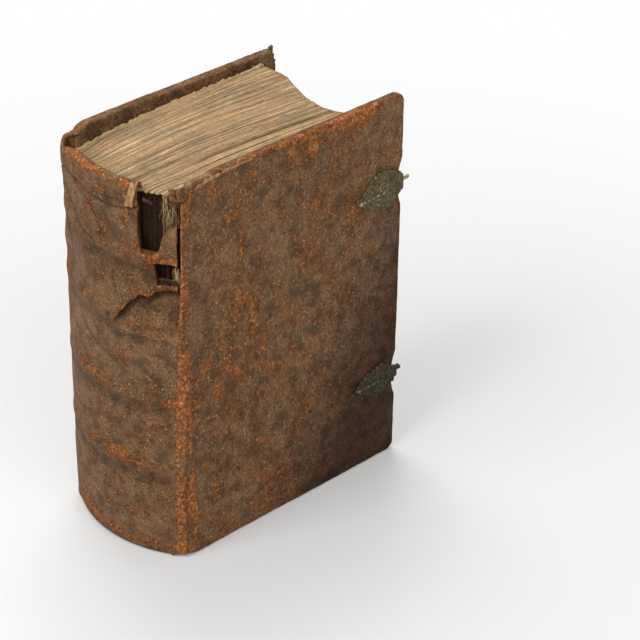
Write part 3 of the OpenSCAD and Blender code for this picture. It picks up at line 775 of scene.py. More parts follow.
# Left and right edge of the rubbed front joint: angle on the spine and cover y, at these heights
JOINT_Z = [0, 5, 30, 61, 92, 120, 148, 180, 201, 210]
JOINT_LEFT = [35.9, 35.9, 35.4, 35.3, 36.1, 36.9, 37.8, 38.5, 38.4, 38.4]
JOINT_RIGHT = [7.0, 7.0, 6.7, 4.5, 2.9, 2.7, 2.6, 3.7, 4.6, 4.8]


def rub_marks(marks, across, z):
    """Wear of rubbed places, whose first number is a place on the axis across."""
    worn = 0.0
    for x, height, half_x, half_z, strength in marks:
        worn = worn + strength * np.exp(-(((across - x) / half_x) ** 2 + ((z - height) / half_z) ** 2))
    return worn


def rubbed(s, z):
    """Share of wear from 0 to 1, before the finish breaks it up."""
    worn = 0.2 + 0.24 * rough(26, 21, s, z) + 0.16 * rough(8, 22, s, z) + 0.13 * (s > 48)
    for band_z in BAND_Z:
        waver = 2.0 * rough(14, 23, s, band_z)
        worn = worn + 0.25 * hump(z, band_z + waver, 4) * (1 - smooth(np.abs(s), 40, 48))
    y = reach(s)
    grain = rough(2.6, 26, s, z)
    worn = worn + rub_marks(SPINE_RUBS, s, z) * (0.8 + 0.5 * grain)
    worn = worn + 0.95 * rub_marks(FRONT_RUBS, y, z) * (s > 46) * (0.8 + 0.6 * grain)
    # The joints, rubbed all along
    left = arc(1) * np.interp(z, JOINT_Z, JOINT_LEFT)
    right = s_of(np.interp(z, JOINT_Z, JOINT_RIGHT), 1)
    strip = smooth(s, left - 0.8, left + 0.6) * (1 - smooth(s, right - 1.6, right + 1.6))
    worn = worn + (0.35 + 0.22 * rough(7, 24, s, z)) * strip
    worn = worn + 0.42 * hump(s, left + 0.5, 0.9) * (s > 30) + 0.3 * hump(s, right - 0.6, 1.0) * (s > 30)
    worn = worn + 0.25 * smooth(-s, 40, 44) * (1 - smooth(-s, 50, 56))
    # Edges of the covers, and the tail of the spine
    cover = smooth(np.abs(s), 46, 50)
    uneven = 0.75 + 0.5 * rough(9, 25, s, 0.5 * z)
    head = 0.5 * uneven * smooth(z, BOOK_H - 3.2, BOOK_H - 0.4) * (1 - 0.7 * smooth(y, 126, 134))
    head = head * (0.35 * smooth(y, 2, 9) + 0.65 * smooth(y, 30, 55))
    head = head * np.where(s < 0, 0.2, 1.0)
    tail = 0.35 * uneven * smooth(-z, -2.2, -0.3)
    foot = 0.85 * uneven * hump(z, 6, 2.2) + 0.2 * smooth(-z, -4, -1)
    worn = worn + cover * (head + tail) + (1 - cover) * foot
    return np.clip(worn, 0, 1)


def shade_and_darkening_share(s, z):
    """Share of darkening from 0 to 1: darker towards the fore-edge and tail of the front, with painted shade
    down in the creases, under the raised bands and over the spine.
    """
    y = reach(s)
    dark = smooth(0.9 * y + 0.45 * (120 - z) + 9 * rough(22, 27, s, z), 88, 150) * (s > 46)
    # Painted shade down in the creases
    for line, _, half in CREASES:
        dark = dark + 0.6 * hump(line_distance(s, z, line), 0, 0.7 * half)
    # Painted shade under each raised band
    for band_z in BAND_Z:
        dark = dark + 0.42 * hump(z, band_z - 8, 4) * (1 - smooth(np.abs(s), 36, 42))
    # Painted shade over the spine below the cap, twice as strong at the front joint as at the rear
    on_spine = (1 - smooth(np.abs(s), 38, 44)) * (1 - smooth(z, CAP_FROM, CAP_FROM + 2))
    dark = dark + 0.13 * (1 + smooth(s, -35, 20)) * on_spine
    return np.clip(dark, 0, 1)


# Spine

# The headcap: depth and height of its roll, its length over the roll, and where it starts
CAP_DEEP = 3.1
CAP_HIGH = 4.0
CAP_LONG = 10.5
CAP_FROM = 203.4
# Height from which the leather follows the slanting crest
EASE_FROM = 188.0
# The tailcap: its radius, and its length over the roll
TAIL_R = 3.1
TAIL_LONG = 8.0
# Height of the headcap's crest at angles on the spine
CREST_ANGLES = [-40, -36, -31, -22, -10, 3, 20]
CREST_HEIGHTS = [201.2, 201.6, 203.2, 205.5, 207.0, 207.5, 207.2]
# Torn openings, the peeled place, the lip over it and a raised flap, as angles on the spine and heights
HOLE_HEAD = on_arc([
    (20, 230), (20, 205), (20.3, 197), (19.8, 184), (20.8, 176), (22.3, 171.8), (27, 172.7), (30, 175.8),
    (31, 182), (34, 187), (37, 189.3), (39.4, 190), (46, 191), (46, 230),
])
HOLE_LOW = on_arc([
    (27, 168), (34, 169), (37.6, 167), (38.6, 163), (38, 157.5), (34, 157.6), (28.5, 156.4), (27.6, 163),
])
PEELED_TOP = on_arc([
    (7, 129.5), (11, 136.5), (15, 142.5), (21, 149.8), (25, 149.4), (28.5, 153), (33.5, 155), (38.5, 154.5),
])
PEELED = PEELED_TOP + on_arc([(38.5, 138), (37, 135.5), (30, 134.5), (20, 133.5), (13, 132)])
LIP = on_arc([(21, 151), (25, 150.6), (28.5, 154.6), (34, 156.6), (38, 156)])
FLAP = on_arc([(30, 174), (36, 171), (39, 182), (37, 190)])
# Gap of the crack beside the front joint, at heights
CRACK = (0, -0.5), (134, -0.5), (146, 0.9), (170, 1.6), (190, 1.5), (210, 1.2)


def leather_piece(name, points, faces, fields, body=None):
    """A piece of the leather, whose fields are its wear, its darkening with painted shade, and share of back.
    """
    fields = dict(zip(("wear", "soot", "back"), fields))
    return new_piece(name, points, faces, LEATHER, "leather", body, **fields)


def seam_front(z):
    """Length round the book of the seam beside the front joint."""
    return arc(1) * np.interp(z, JOINT_Z, JOINT_LEFT) + 0.35 * rough(7, 60, z)


def spine_keep(s, v):
    """More than 0 where the leather of the spine is left."""
    ragged = 0.55 * rough(3.2, 11, s, v, octaves=3) + 0.18 * rough(0.8, 12, s, v)
    keep = np.minimum(outline_distance(s, v, HOLE_HEAD), outline_distance(s, v, HOLE_LOW)) + ragged
    keep = np.minimum(keep, outline_distance(s, v, PEELED) + ragged)
    keep = np.minimum(keep, seam_front(v) - through(v, *CRACK) - s + 0.4 * ragged)
    # The turned-in ends of the caps stop short of the joints
    keep = np.where(v > CAP_FROM + 0.45 * CAP_LONG, np.minimum(keep, s - arc(-32.5)), keep)
    keep = np.where(v < -0.2, np.minimum(keep, arc(32) - np.abs(s)), keep)
    foot = through(np.degrees(s / SPINE_R), (30, -9), (31, -1), (32.5, 0.5), (34, 1.5), (36, 2.2), (40, 2.6))
    return np.minimum(keep, v - foot)


def spine_points(s, v, keep):
    """Leather face of the spine with its caps; v is the height, and runs on round the caps."""
    angle = np.degrees(s / SPINE_R)
    crest = np.interp(angle, CREST_ANGLES, CREST_HEIGHTS) + 0.25 * rough(5, 70, s)
    top = np.minimum(v, CAP_FROM)
    eased = EASE_FROM + (top - EASE_FROM) * (crest - CAP_HIGH - EASE_FROM) / (CAP_FROM - EASE_FROM)
    z = np.where(v > EASE_FROM, eased, v)
    lift = relief(s, z) * smooth(-v, -CAP_FROM - 1, -CAP_FROM + 4) * smooth(v, 0.5, 4)
    # Headcap: a crease below it, a swelling, and the roll over the endband
    over = np.clip((v - CAP_FROM) / CAP_LONG, 0, 1) * math.pi
    cap_here = smooth(s, arc(-37), arc(-31))
    below = through(angle, (-36, 190.5), (-31, 192), (-15, 194), (-3, 195), (6, 196), (20, 195))
    lift = lift - 1.1 * hump(z, below, 0.8) * cap_here + 0.8 * hump(z, below + 4.5, 3.6) * cap_here
    lift = lift - CAP_DEEP * np.where(s > arc(-33), 1.0, 0.35) * (1 - np.cos(over))
    z = np.where(v > CAP_FROM, crest - CAP_HIGH + CAP_HIGH * np.sin(over), z)
    # Tailcap
    under = np.clip((TAIL_R - v) / TAIL_LONG, 0, 1) * math.pi
    low = v < TAIL_R
    lift = lift - low * TAIL_R * (1 - np.cos(under)) * np.where(np.abs(s) < arc(32.5), 1.0, 0.25)
    z = np.where(low, TAIL_R - TAIL_R * np.sin(under), z)
    # Torn edges stand off the book, most of all at the lip over the peeled place
    tear = fade(keep, 1.6) * smooth(v, 125, 130) * smooth(-v, -203, -198)
    above = smooth(z - through(angle, (5, 126), (7, 129), (11, 136), (15, 142), (21, 150), (40, 150)), -1, 3)
    lift = lift + tear * (0.35 + 1.2 * above * smooth(angle, 5, 12) * smooth(-z, -154, -148))
    lift = lift + 1.5 * hump(line_distance(s, z, LIP), 0, 1.5)
    lift = lift + 0.9 * smooth(-outline_distance(s, z, FLAP), -1, 2)
    return around(s, z, lift), z


def spine_skin():
    """Leather of the spine with its caps and torn edges."""
    us = lines((arc(-34.6), arc(3), 1.0), (arc(3), arc(41.5), 0.45))
    vs = lines((TAIL_R - TAIL_LONG, TAIL_R, 0.7), (TAIL_R, 124, 1.2), (124, CAP_FROM, 0.55),
               (CAP_FROM, CAP_FROM + CAP_LONG, 0.6))
    s, v, keep, faces = cut_grid(us, vs, spine_keep)
    points, z = spine_points(s, v, keep)
    torn = fade(keep, 0.9) * smooth(z, 126, 131) * (0.75 + 0.6 * rough(4, 13, s, z))
    cap = (0.36 + 0.26 * rough(4, 14, s, v)) * smooth(z, 194, 197) * smooth(s, arc(-33), arc(-29))
    cap = cap + 0.4 * hump(v, CAP_FROM + 2.5, 1.6) * smooth(s, arc(-38), arc(-34))
    cap = cap - 0.3 * hump(s, arc(10), 5) * smooth(z, 196, 199)
    bridge = 0.5 * smooth(s, arc(20), arc(23)) * hump(z, 170.5, 3)
    lip = 0.5 * hump(line_distance(s, z, LIP), 0, 2.2)
    wear = np.clip(rubbed(s, z) + 0.6 * torn + cap + bridge + lip, 0, 1)
    back = behind(points, faces, LEATHER_T)
    points, faces, *fields = thicken(points, faces, back, wear, shade_and_darkening_share(s, z))
    piece = leather_piece("spine_skin", points, faces, fields, "text_body")
    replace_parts(piece, "spine_leather")


def under_layer():
    """The lower layer of the spine's leather, bare where the upper one is peeled off."""

    def keep(s, z):
        left = s - arc(3.5) - 0.6 * np.maximum(z - 146, 0)
        return np.minimum(np.minimum(left, arc(38.4) - s), z - 126) + 0.8 * rough(4, 81, s, z, octaves=3)

    s, z, _, faces = cut_grid(lines((arc(2), arc(40), 0.6)), lines((124, 158.5, 0.6)), keep)
    inside = smooth(outline_distance(s, z, PEELED), 1.5, -1.5)
    sunk = 1.25 * smooth(z, 135, 144) * inside + 1.4 * smooth(z, 134, 140) * (1 - inside)
    sunk = sunk + 1.3 * smooth(z, 151, 156)
    lift = relief(s, z) + 0.07 - sunk + 0.14 * rough(2.4, 82, s, z) * inside
    wear = 0.24 + 0.25 * rough(4, 83, s, z) + 0.25 * hump(z, 130, 2.5)
    # Painted shadow: dark in the peeled place below its top edge, in a wedge under the lifted tip of the
    # upper layer, and just below the lip
    soot = 0.45 * inside * smooth(z, 132, 142) + 0.4 * hump(s, arc(12), 5) * smooth(z, 130, 134)
    soot = soot + 0.8 * smooth(z - through(s, *PEELED_TOP), -6.5, -1)
    face = around(s, z, lift)
    wear, soot = np.clip(wear, 0, 1), np.clip(soot, 0, 1)
    points, faces, *fields = thicken(face, faces, behind(face, faces, SKIN_T), wear, soot)
    leather_piece("under_layer", points, faces, fields, "text_body")


# Covers

# The hollows of the front cover's edge at the catches, and the width of the turned-in leather
NOTCH_L = 26.0
NOTCH_D = 2.8
TURN_IN = 15.0


def round_box(a, b, corner):
    """Distance to a rounded corner at the origin, negative on its inner side."""
    a, b = a + corner, b + corner
    return np.minimum(np.maximum(a, b), 0) + np.hypot(np.maximum(a, 0), np.maximum(b, 0)) - corner


def front_outline(y, z, inset):
    """Distance to the front cover's outline less an inset, negative inside it."""
    d = round_box(y - FRONT_W + inset, np.abs(z - BOOK_H / 2) - BOOK_H / 2 + inset, 5.0 - inset)
    radius = (NOTCH_L ** 2 / 4 + NOTCH_D ** 2) / (2 * NOTCH_D)
    for node in ("upper_catch_plate", "lower_catch_plate"):
        low, high = box_mm(node)
        middle_z = (low[2] + high[2]) / 2
        d = np.maximum(d, radius + inset - np.hypot(y - (FRONT_W - NOTCH_D + radius), z - middle_z))
    head = through(y, (-6, 199.4), (1, 200.2), (3, 202), (5, 204.8), (7, 206.6), (10, 207.9), (14, 208.7),
                   (20, 209.4), (30, BOOK_H + 1))
    head = head + 0.5 * rough(1.8, 62, y) * (1 - smooth(y, 3, 6))
    tail = through(y, (-6, 1.7), (-3, 1.9), (0, 2.0), (2, 1.7), (4, 1.1), (7, 0.3), (12, -1))
    return np.maximum(np.maximum(d, z - head + inset), tail - z + inset)


def rear_outline(y, z, inset):
    """The same of the rear cover, ragged at its fore-edge."""
    ragged = 0.5 * rough(3.2, 90, z, octaves=3) - 0.2 - 3.3 * smooth(z, 120, 200)
    d = round_box(y - REAR_W + inset - ragged, np.abs(z - BOOK_H / 2) - BOOK_H / 2 + inset, 1.5)
    head = through(y, (-9, 200.6), (-2, 201.8), (1, 203.8), (4, 206.7), (5.5, 208), (7, 209.1), (10, 210),
                   (14, BOOK_H + 1))
    return np.maximum(d, z - head + inset)


def edge_band(side, outline, s, z, faces):
    """Leather round a cover's edges: a quarter round, the board's edge and a second quarter round."""
    a, b = open_edges(faces)
    y = reach(s)
    on_line = np.abs(outline(y, z, EDGE_R)) < 0.12
    pick = on_line[a] & on_line[b]
    a, b = a[pick], b[pick]
    ends = np.unique(np.concatenate([a, b]))
    y, z = y[ends], z[ends]
    step = 0.05
    ny = outline(y + step, z, EDGE_R) - outline(y - step, z, EDGE_R)
    nz = outline(y, z + step, EDGE_R) - outline(y, z - step, EDGE_R)
    length = np.hypot(ny, nz)
    thick = JOINT_T + (COVER_T - JOINT_T) * smooth(y, 1.5, COVER_START)
    quarter = np.linspace(0, math.pi / 2, 5)
    out = EDGE_R * np.concatenate([np.sin(quarter), [1], np.cos(quarter)])
    bend = EDGE_R / COVER_T * (1 - np.cos(quarter))
    share = np.concatenate([bend, [0.5], 1 - bend[::-1]])
    deep = thick[:, None] * share
    far_s = s[ends, None] + side * (ny / length)[:, None] * out
    far_z = z[:, None] + (nz / length)[:, None] * out
    points = around(far_s, far_z, -deep).reshape(-1, 3)
    row = np.searchsorted(ends, np.stack([a, b]))
    k = np.arange(len(out) - 1)
    first, second = row[1][:, None] * len(out) + k, row[0][:, None] * len(out) + k
    faces = np.stack([first, second, second + 1, first + 1], -1).reshape(-1, 4)
    return points, faces, far_s.ravel(), far_z.ravel(), (deep / thick[:, None]).ravel()


def cover_fields(points, faces, s, z, inside, outline):
    """Points with the relief outside, cockled turn-ins and bruised edges, and their wear and their darkening
    with painted shade.
    """
    y = reach(s)
    bruise = fade(-outline(y, points[:, 2], 0), 2.5)
    lift = np.clip(relief(s, z), np.where(y > 3, -0.25, -0.8), 1) * (1 - inside)
    lift = lift + bruise * 0.2 * rough(4.5, 97, *points.T) + inside * 0.12 * (rough(6, 98, *points.T) - 0.6)
    lift = lift + bruise * 0.12 * rough(1.7, 94, *points.T)
    points = points + point_normals(points, faces) * lift[:, None]
    rim = hump(inside, 0.4, 0.3) * (inside > 0) * (inside < 1)
    wear = rubbed(s, z) * (1 - inside) + inside * np.clip(0.1 + 0.3 * rough(9, 99, *points.T), 0, 1)
    wear = np.clip(wear + 0.18 * rim + 0.2 * bruise * rough(3, 93, *points.T), 0, 1)
    return points, wear, np.clip(shade_and_darkening_share(s, z) + 0.2 * inside, 0, 1)


def cover_piece(name, node, side, width, outline, seam, pitch, inner_w):
    """Leather of one cover from its seam beside the spine, over the joint and round the board's edges."""

    def keep_outer(s, z):
        keep = -outline(reach(s), z, EDGE_R)
        if side < 0:
            return keep
        return np.minimum(keep, np.where(reach(s) < 2, s - seam_front(z) + 0.25 * rough(2.5, 61, z), 9))

    def keep_inner(s, z):
        y = reach(s)
        cut = rough(16, 95, y, z) + 0.35 * rough(3, 96, y, z)
        window = np.maximum(y - (width - inner_w), np.abs(z - BOOK_H / 2) - (BOOK_H / 2 - TURN_IN)) + cut
        return np.minimum(-outline(y, z, EDGE_R), window)

    start, fine, far = (abs(s_of(y, side)) for y in (COVER_START, CREASE_Y + 3, width + 1))
    us = lines((abs(seam), start, 0.4), (start, fine, 0.4), (fine, far, pitch))
    if side < 0:
        us = -us[::-1]
    vs = lines((EDGE_R - 2 * pitch, EDGE_R, pitch), (EDGE_R, BOOK_H - EDGE_R, pitch),
               (BOOK_H - EDGE_R, BOOK_H - EDGE_R + 2 * pitch, pitch))
    s, z, _, faces = cut_grid(us, vs, keep_outer)
    band_points, band_faces, band_s, band_z, band_share = edge_band(side, outline, s, z, faces)
    inner_s, inner_z, _, inner_faces = cut_grid(us[np.abs(us) > start - 0.01], vs, keep_inner)
    inner = around(inner_s, inner_z, -COVER_T)
    points, faces = joined((around(s, z), faces), (band_points, band_faces), (inner, inner_faces[:, ::-1]))
    s = np.concatenate([s, band_s, inner_s])
    z = np.concatenate([z, band_z, inner_z])
    outer_count = len(s) - len(band_s) - len(inner_s)
    inside = np.concatenate([np.zeros(outer_count), band_share, np.ones(len(inner_s))])
    points, faces, s, z, inside = weld(points, faces, s, z, inside)
    points, wear, soot = cover_fields(points, faces, s, z, inside, outline)
    points, faces, *fields = thicken(points, faces, behind(points, faces, SKIN_T), wear, soot)
    piece = leather_piece(name, points, faces, fields)
    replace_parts(piece, node)
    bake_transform(piece)


def rear_board_wood():
    """Board of the rear cover, worn back with its leather."""
    low, high = (corner - ORIGIN for corner in box_mm("rear_board"))

    def keep(y, z):
        return np.minimum(-rear_outline(y, z, 0.9), y - low[1])

    y, z, _, faces = cut_grid(lines((low[1] - 2, REAR_W, 2.5)), lines((-2, BOOK_H + 2, 2.5)), keep)
    inner = np.stack([high[0] - 0.05 + 0.05 * rough(7, 92, y, z), y, z], -1)
    outer = np.stack([0 * y + low[0], y, z], -1)
    points, faces, _ = thicken(inner, faces, outer)
    piece = new_piece("rear_board_wood", points, faces, OAK, "oak", "rear_cover", soft=False)
    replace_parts(piece, "rear_board")


# Leaves

PAGE_Z0 = block_low[2]
BLOCK_HALF = block_high[0] - ORIGIN[0]
# Radius of the rounded folds in plan, and how many sections are folded
FOLD_R = 63.6
FOLDS = 24
FOLD_TURN = math.asin((BLOCK_HALF - 2) / FOLD_R)
# Steps of the mesh over the thickness and up the height
COLUMNS = 360
LEVELS = 48
# Shares of the thickness where leaves stand apart
GAP_LEAVES = [0.155, 0.31, 0.385, 0.52, 0.60, 0.675, 0.69, 0.735, 0.80, 0.865, 0.93]


def fore_edge(x):
    """Outline of the fore-edge in plan, hollow and a little askew."""
    return through(x, (-37, 122.5), (-33, 123.6), (-30, 124), (-24, 124.8), (-19, 124.6), (-14, 122.6),
                   (-7, 120), (2, 117.2), (11, 115.8), (16, 115.4), (21, 116.2), (28, 119.5), (33, 123),
                   (37, 124))


def head_height(x, y):
    """Height of the leaves at the head: they sag by the rear cover towards the spine."""
    rear = through(y, (-15, 197.6), (3, 198.7), (15, 200.6), (41, 202.6), (80, 204), (123, 204.5))
    middle = through(y, (-15, 203.4), (0, 204.3), (38, 205.6), (70, 205), (100, 203.6), (123, 202.4))
    front = through(y, (-15, 202.8), (0, 203.6), (38, 204.6), (123, 203))
    share = smooth(x, -36.5, 8)
    return rear * (1 - share) + (middle * (1 - smooth(x, 14, 36)) + front * smooth(x, 14, 36)) * share


def leaf_plan(c, t):
    """Plan point of the leaf at share c of the thickness, at share t of the way from its fold."""
    turn = FOLD_TURN * (2 * c - 1)
    within = np.abs((c * FOLDS) % 1 * 2 - 1)
    dent = 1.3 * (1 - np.sqrt(np.clip(1 - within ** 2, 0, 1)))
    fold_x = (FOLD_R - 1.5) * np.sin(turn)
    fold_y = SPINE_Y - FOLD_R * np.cos(turn) + dent
    far_x = BLOCK_HALF * (2 * c - 1)
    x = fold_x + (far_x - fold_x) * smooth(t, 0, 0.22)
    wave = 0.5 * rough(0.3, 120, t, c * 1.3) * smooth(t, 0.02, 0.3) * smooth(1 - np.abs(2 * c - 1), 0, 0.2)
    return x + wave, fold_y + (fore_edge(far_x) - fold_y) * t


def leaf_step(c, seed, count):
    """A fixed height from -1 to 1 for each of count leaves."""
    return lattice(np.floor(c * count).astype(np.int64), np.int64(7), np.int64(3), seed)


def gap_depth(c):
    """Depth from 0 to 1 of the slits between leaves that stand apart."""
    return sum(hump(c, gap + 0.002 * math.sin(9 * i), 0.0022) for i, gap in enumerate(GAP_LEAVES))


def head_edge(c, t):
    """Points of the leaves' head at share c of the thickness and t from the fold, and their depth of gap."""
    x, y = leaf_plan(c, t)
    step = 0.16 * leaf_step(c, 31, COLUMNS / 2) + 0.22 * leaf_step(c, 32, COLUMNS / 9)
    step = step * (0.6 + 0.6 * rough(0.25, 33, t, c * 3))
    split = gap_depth(c) * (0.35 + 0.65 * smooth(rough(0.35, 34, t, c * 9), -0.5, 0.4))
    z = head_height(x, y) + step - 1.1 * split + 0.15 * rough(7, 35, x, y)
    z = z + 0.5 * hump(c, 0.678, 0.002) * smooth(t, 0.1, 0.2)
    z = z - 0.8 * np.exp(-t / 0.012) - 0.5 * np.exp(-(1 - t) / 0.008)
    return np.stack([x, y, z], -1), split


def fold_edge(c, v):
    """The same of the folds at share v of the height, hollow behind the torn openings."""
    head_z = head_edge(c, 0 * c)[0][..., 2]
    x, y = leaf_plan(c, 0 * c)
    z = PAGE_Z0 + (head_z - PAGE_Z0) * v
    angle = FOLD_TURN * (2 * c - 1)
    turn = np.degrees(angle) + 0.8 * rough(5, 36, z)
    hollow = smooth(turn, 15, 19) * (1 - smooth(turn, 30.2, 31.4) * smooth(z, 169, 172)) * smooth(z, 152, 156)
    inward = 3.2 * hollow * smooth(-z, -204.5, -202) * smooth(-turn, -32.5, -31)
    return np.stack([x - inward * np.sin(angle), y + inward * np.cos(angle), z], -1), hollow


def far_edge(c, v):
    """The same of the fore-edge."""
    top = head_edge(c, 0 * c + 1)[0]
    z = PAGE_Z0 + (top[..., 2] - PAGE_Z0) * v
    step = 0.3 * leaf_step(c, 41, COLUMNS / 2) + 0.3 * leaf_step(c, 42, COLUMNS / 8)
    split = gap_depth(c)
    inward = (step * (0.5 + 0.5 * rough(30, 43, z, c * 60)) - 0.7 * split) * off_ends(v, 0.004)
    return np.stack([top[..., 0] + 0 * v, top[..., 1] + inward, z], -1), split


def tail_edge(c, t):
    """The same of the tail."""
    x, y = leaf_plan(c, t)
    z = PAGE_Z0 + 0.1 + 0.12 * leaf_step(c, 51, COLUMNS / 2) * off_ends(t, 0.01)
    return np.stack([x, y, z], -1), 0 * x


def edge_sides(t, v):
    """Grids of the block's four sides of leaf edges, whether each is flipped, and its fields."""
    c = np.arange(COLUMNS + 1) / COLUMNS
    sides = []
    for place, second, flip in ((head_edge, t, False), (fold_edge, v, False), (far_edge, v, True),
                                (tail_edge, t, True)):
        grid_c, grid_second = np.meshgrid(c, second, indexing="ij")
        points, gap = place(grid_c, grid_second)
        glue = 0 * grid_c
        # Folds under the spine's leather: the gap darkening all over as painted shade, and glue brown, full
        # in the hollow behind the openings, as old glue and painted shade
        if place is fold_edge:
            glue = np.clip(smooth(gap, 0.1, 0.6) + 0.3, 0, 1)
            gap = 0 * gap + 0.6
        sides.append((points, flip, grid_c * 2 * BLOCK_HALF, gap, glue, 0 * grid_c))
    return sides


def outer_leaves(t, v):
    """The same of the first and last leaf, which close the block at its sides."""
    grid_t, grid_v = np.meshgrid(t, v, indexing="ij")
    # Painted shade: near the fold the outer leaves are darkened with the gap and glue fields, where they are
    # seen through the crack at the joint
    near_fold = 1 - smooth(grid_t, 0.04, 0.09)
    sheet = off_ends(grid_v, 0.004) * smooth(1 - grid_t, 0, 0.006) * (1 - near_fold)
    sides = []
    for share, flip in ((0.0, True), (1.0, False)):
        top = head_edge(0 * grid_t + share, grid_t)[0]
        z = PAGE_Z0 + (top[..., 2] - PAGE_Z0) * grid_v
        bulge = 0.12 * rough(30, 52, grid_t * 120, z) * np.sin(math.pi * grid_t) * np.sin(math.pi * grid_v)
        points = np.stack([top[..., 0] + bulge, top[..., 1], z], -1)
        leaf = np.full(grid_t.shape, share * 2 * BLOCK_HALF)
        sides.append((points, flip, leaf, 0.6 * near_fold, near_fold, sheet))
    return sides


def text_leaves():
    """The whole block of leaves, with the leaf, gap, glue and sheet fields of its finish."""
    t = lines((0, 0.04, 0.004), (0.04, 0.97, 0.0162), (0.97, 1, 0.004))
    v = np.linspace(0, 1, LEVELS + 1)
    parts, fields = [], []
    for points, flip, *values in edge_sides(t, v) + outer_leaves(t, v):
        faces = grid_faces(points.shape[:2])
        parts.append((points.reshape(-1, 3), faces[:, ::-1] if flip else faces))
        fields.append([value.ravel() for value in values])
    fields = [np.concatenate(values) for values in zip(*fields)]
    points, faces, *fields = weld(*joined(*parts), *fields)
    fields = dict(zip(("leaf", "gap", "glue", "sheet"), fields))
    piece = new_piece("leaves", points, faces, LEAVES, "leaves", "text_body", **fields)
    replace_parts(piece, "text_block")


# Loose and torn bits

def ribbon(path, across, width, thick, segments, curl):
    """Closed strip along a path; across is its sideways direction, and width one number or one a point."""
    path = np.asarray(path, float)
    across = np.broadcast_to(np.asarray(across, float), path.shape)
    width = np.broadcast_to(width, len(path))
    side = np.linspace(-0.5, 0.5, segments + 1)
    ahead = np.gradient(path, axis=0)
    up = np.cross(across, ahead)
    up /= np.linalg.norm(up, axis=1, keepdims=True) + 1e-9
    points = path[:, None] + across[:, None] * (width[:, None] * side)[..., None]
    points = points + up[:, None] * (curl * width[:, None] * (4 * side ** 2))[..., None]
    faces = grid_faces(points.shape[:2])
    points = points.reshape(-1, 3)
    points = points + 0.12 * np.stack([rough(1.5, 200 + i, *points.T) for i in range(3)], -1)
    return slab(points, faces, thick)


def bend_line(*marks, count=12):
    """Smooth path through marks on the spine, each as angle, height and lift."""
    marks = np.array(marks, float)
    at = np.linspace(0, len(marks) - 1, count)
    rows = [np.interp(at, range(len(marks)), marks[:, i]) for i in range(3)]
    rows = [np.convolve(np.pad(row, 1, "edge"), [0.25, 0.5, 0.25], "valid") for row in rows]
    return around(arc(1) * rows[0], rows[1], rows[2])


def bits(name, parts, slot="leather", material=LEATHER, body="text_body", **fields):
    """One piece of several small parts, each field the same all over."""
    points, faces = joined(*parts)
    fields = {key: np.full(len(points), float(value)) for key, value in fields.items()}
    new_piece(name, points, faces, material, slot, body, **fields)


def cap_bits():
    """Tongue and curl on the torn end of the headcap, and a scrap in the opening below it."""
    tangent = unit(around(arc(20), 200.0) - around(arc(17), 200.0))
    tongue = bend_line((17.2, 195.6, 0.9), (17.8, 199, 1.7), (18.8, 203, 1.6), (19.4, 206.8, 1.2),
                       (19.5, 208.3, -0.5), (19.2, 207.4, -2.2), count=20)
    tongue = ribbon(tongue, tangent, np.linspace(4.4, 3.0, 20), 0.5, 6, 0.12)
    bits("cap_tongue", [tongue], material=PARCHMENT, wear=0, soot=0, back=0)
    curl = bend_line((20.6, 204.2, 0.4), (20.4, 206.8, 0.6), (19.6, 208.4, 0), (18.0, 208.6, -1.2),
                     (17, 207.6, -2.0))
    bits("cap_curl", [ribbon(curl, [0.1, 0.9, 0.3], 1.8, 0.5, 3, 0.2)], wear=0.3, soot=0, back=0.2)
    scrap = bend_line((22.2, 199.6, -1.1), (23.6, 198.8, -1.6), (25.2, 198.6, -1.7), (26.8, 197.4, -1.5))
    scrap = ribbon(scrap, [0, 0, 1], np.linspace(2.4, 0.9, 12), 0.4, 3, 0.3)
    bits("red_scrap", [scrap], wear=0.45, soot=0.8, back=0)


def joint_tuft():
    """Frayed strips and threads of leather at the head of the front joint."""
    tuft = []
    for i in range(12):
        turn = lattice(i, 3, 1, 300)
        lean = lattice(i, 5, 2, 301)
        rise = np.linspace(0, 1, 9)[:, None]
        root = around(s_of(-4.2 + 0.65 * i, 1), 201.4 + 0.6 * turn, -0.9 - 0.5 * abs(lean))
        tip = np.array([-1.6 + 1.2 * lean, -0.6 + 1.5 * turn, 5.0 + 1.4 * lean])
        path = root + tip * rise + np.array([0.9, -0.9, 0]) * np.sin(3.4 * rise + 2 * turn)
        width = np.linspace(1.9, 1.0, 9) * (1 + 0.3 * turn)
        tuft.append(ribbon(path, [0.7, 0.7 + 0.4 * turn, 0.4 * lean], width, 0.5, 4, 0.35 * lean))
    for i in range(44):
        a, b, c = draws(3, i, 17, 302)
        rise = np.linspace(0, 1, 6)[:, None]
        root = around(s_of(-2 + 5.5 * a, 1), 199 + b, -1.2 + 0.9 * c)
        path = root + np.array([0.9 * c, 1.6 * b, 5.6 + 1.8 * a]) * rise + 0.5 * c * np.sin(4 * rise)
        tuft.append(tube(path, 0.13, 4))
    bits("joint_tuft", tuft, wear=0.15, soot=0.4, back=0.35)


def head_edge_strip():
    """Pale split edge of the skin along the worn head corner of the front cover."""
    strip = []
    for i, (y0, y1, low, width) in enumerate([(8.5, 24, 1.9, 2.5), (16, 36, 1.5, 2.0), (30, 44, 1.2, 1.2)]):
        y = np.linspace(y0, y1, 26)
        top = through(y, (6, 205.6), (7, 206.6), (10, 207.9), (14, 208.7), (20, 209.4), (30, BOOK_H))
        x = HALF_T + 0.18 + 0.12 * rough(2, 305 + i, y)
        path = np.stack([x, y, top - low + 0.3 * rough(2.6, 307 + i, y)], -1)
        widths = width * (0.35 + np.sin(np.linspace(0.2, 3.0, 26))) * 0.75
        strip.append(ribbon(path, [0.1, 0, 1], widths, 0.3, 3, 0.15))
    bits("head_edge_strip", strip, material=PARCHMENT, body="front_cover", wear=0, soot=0, back=0)


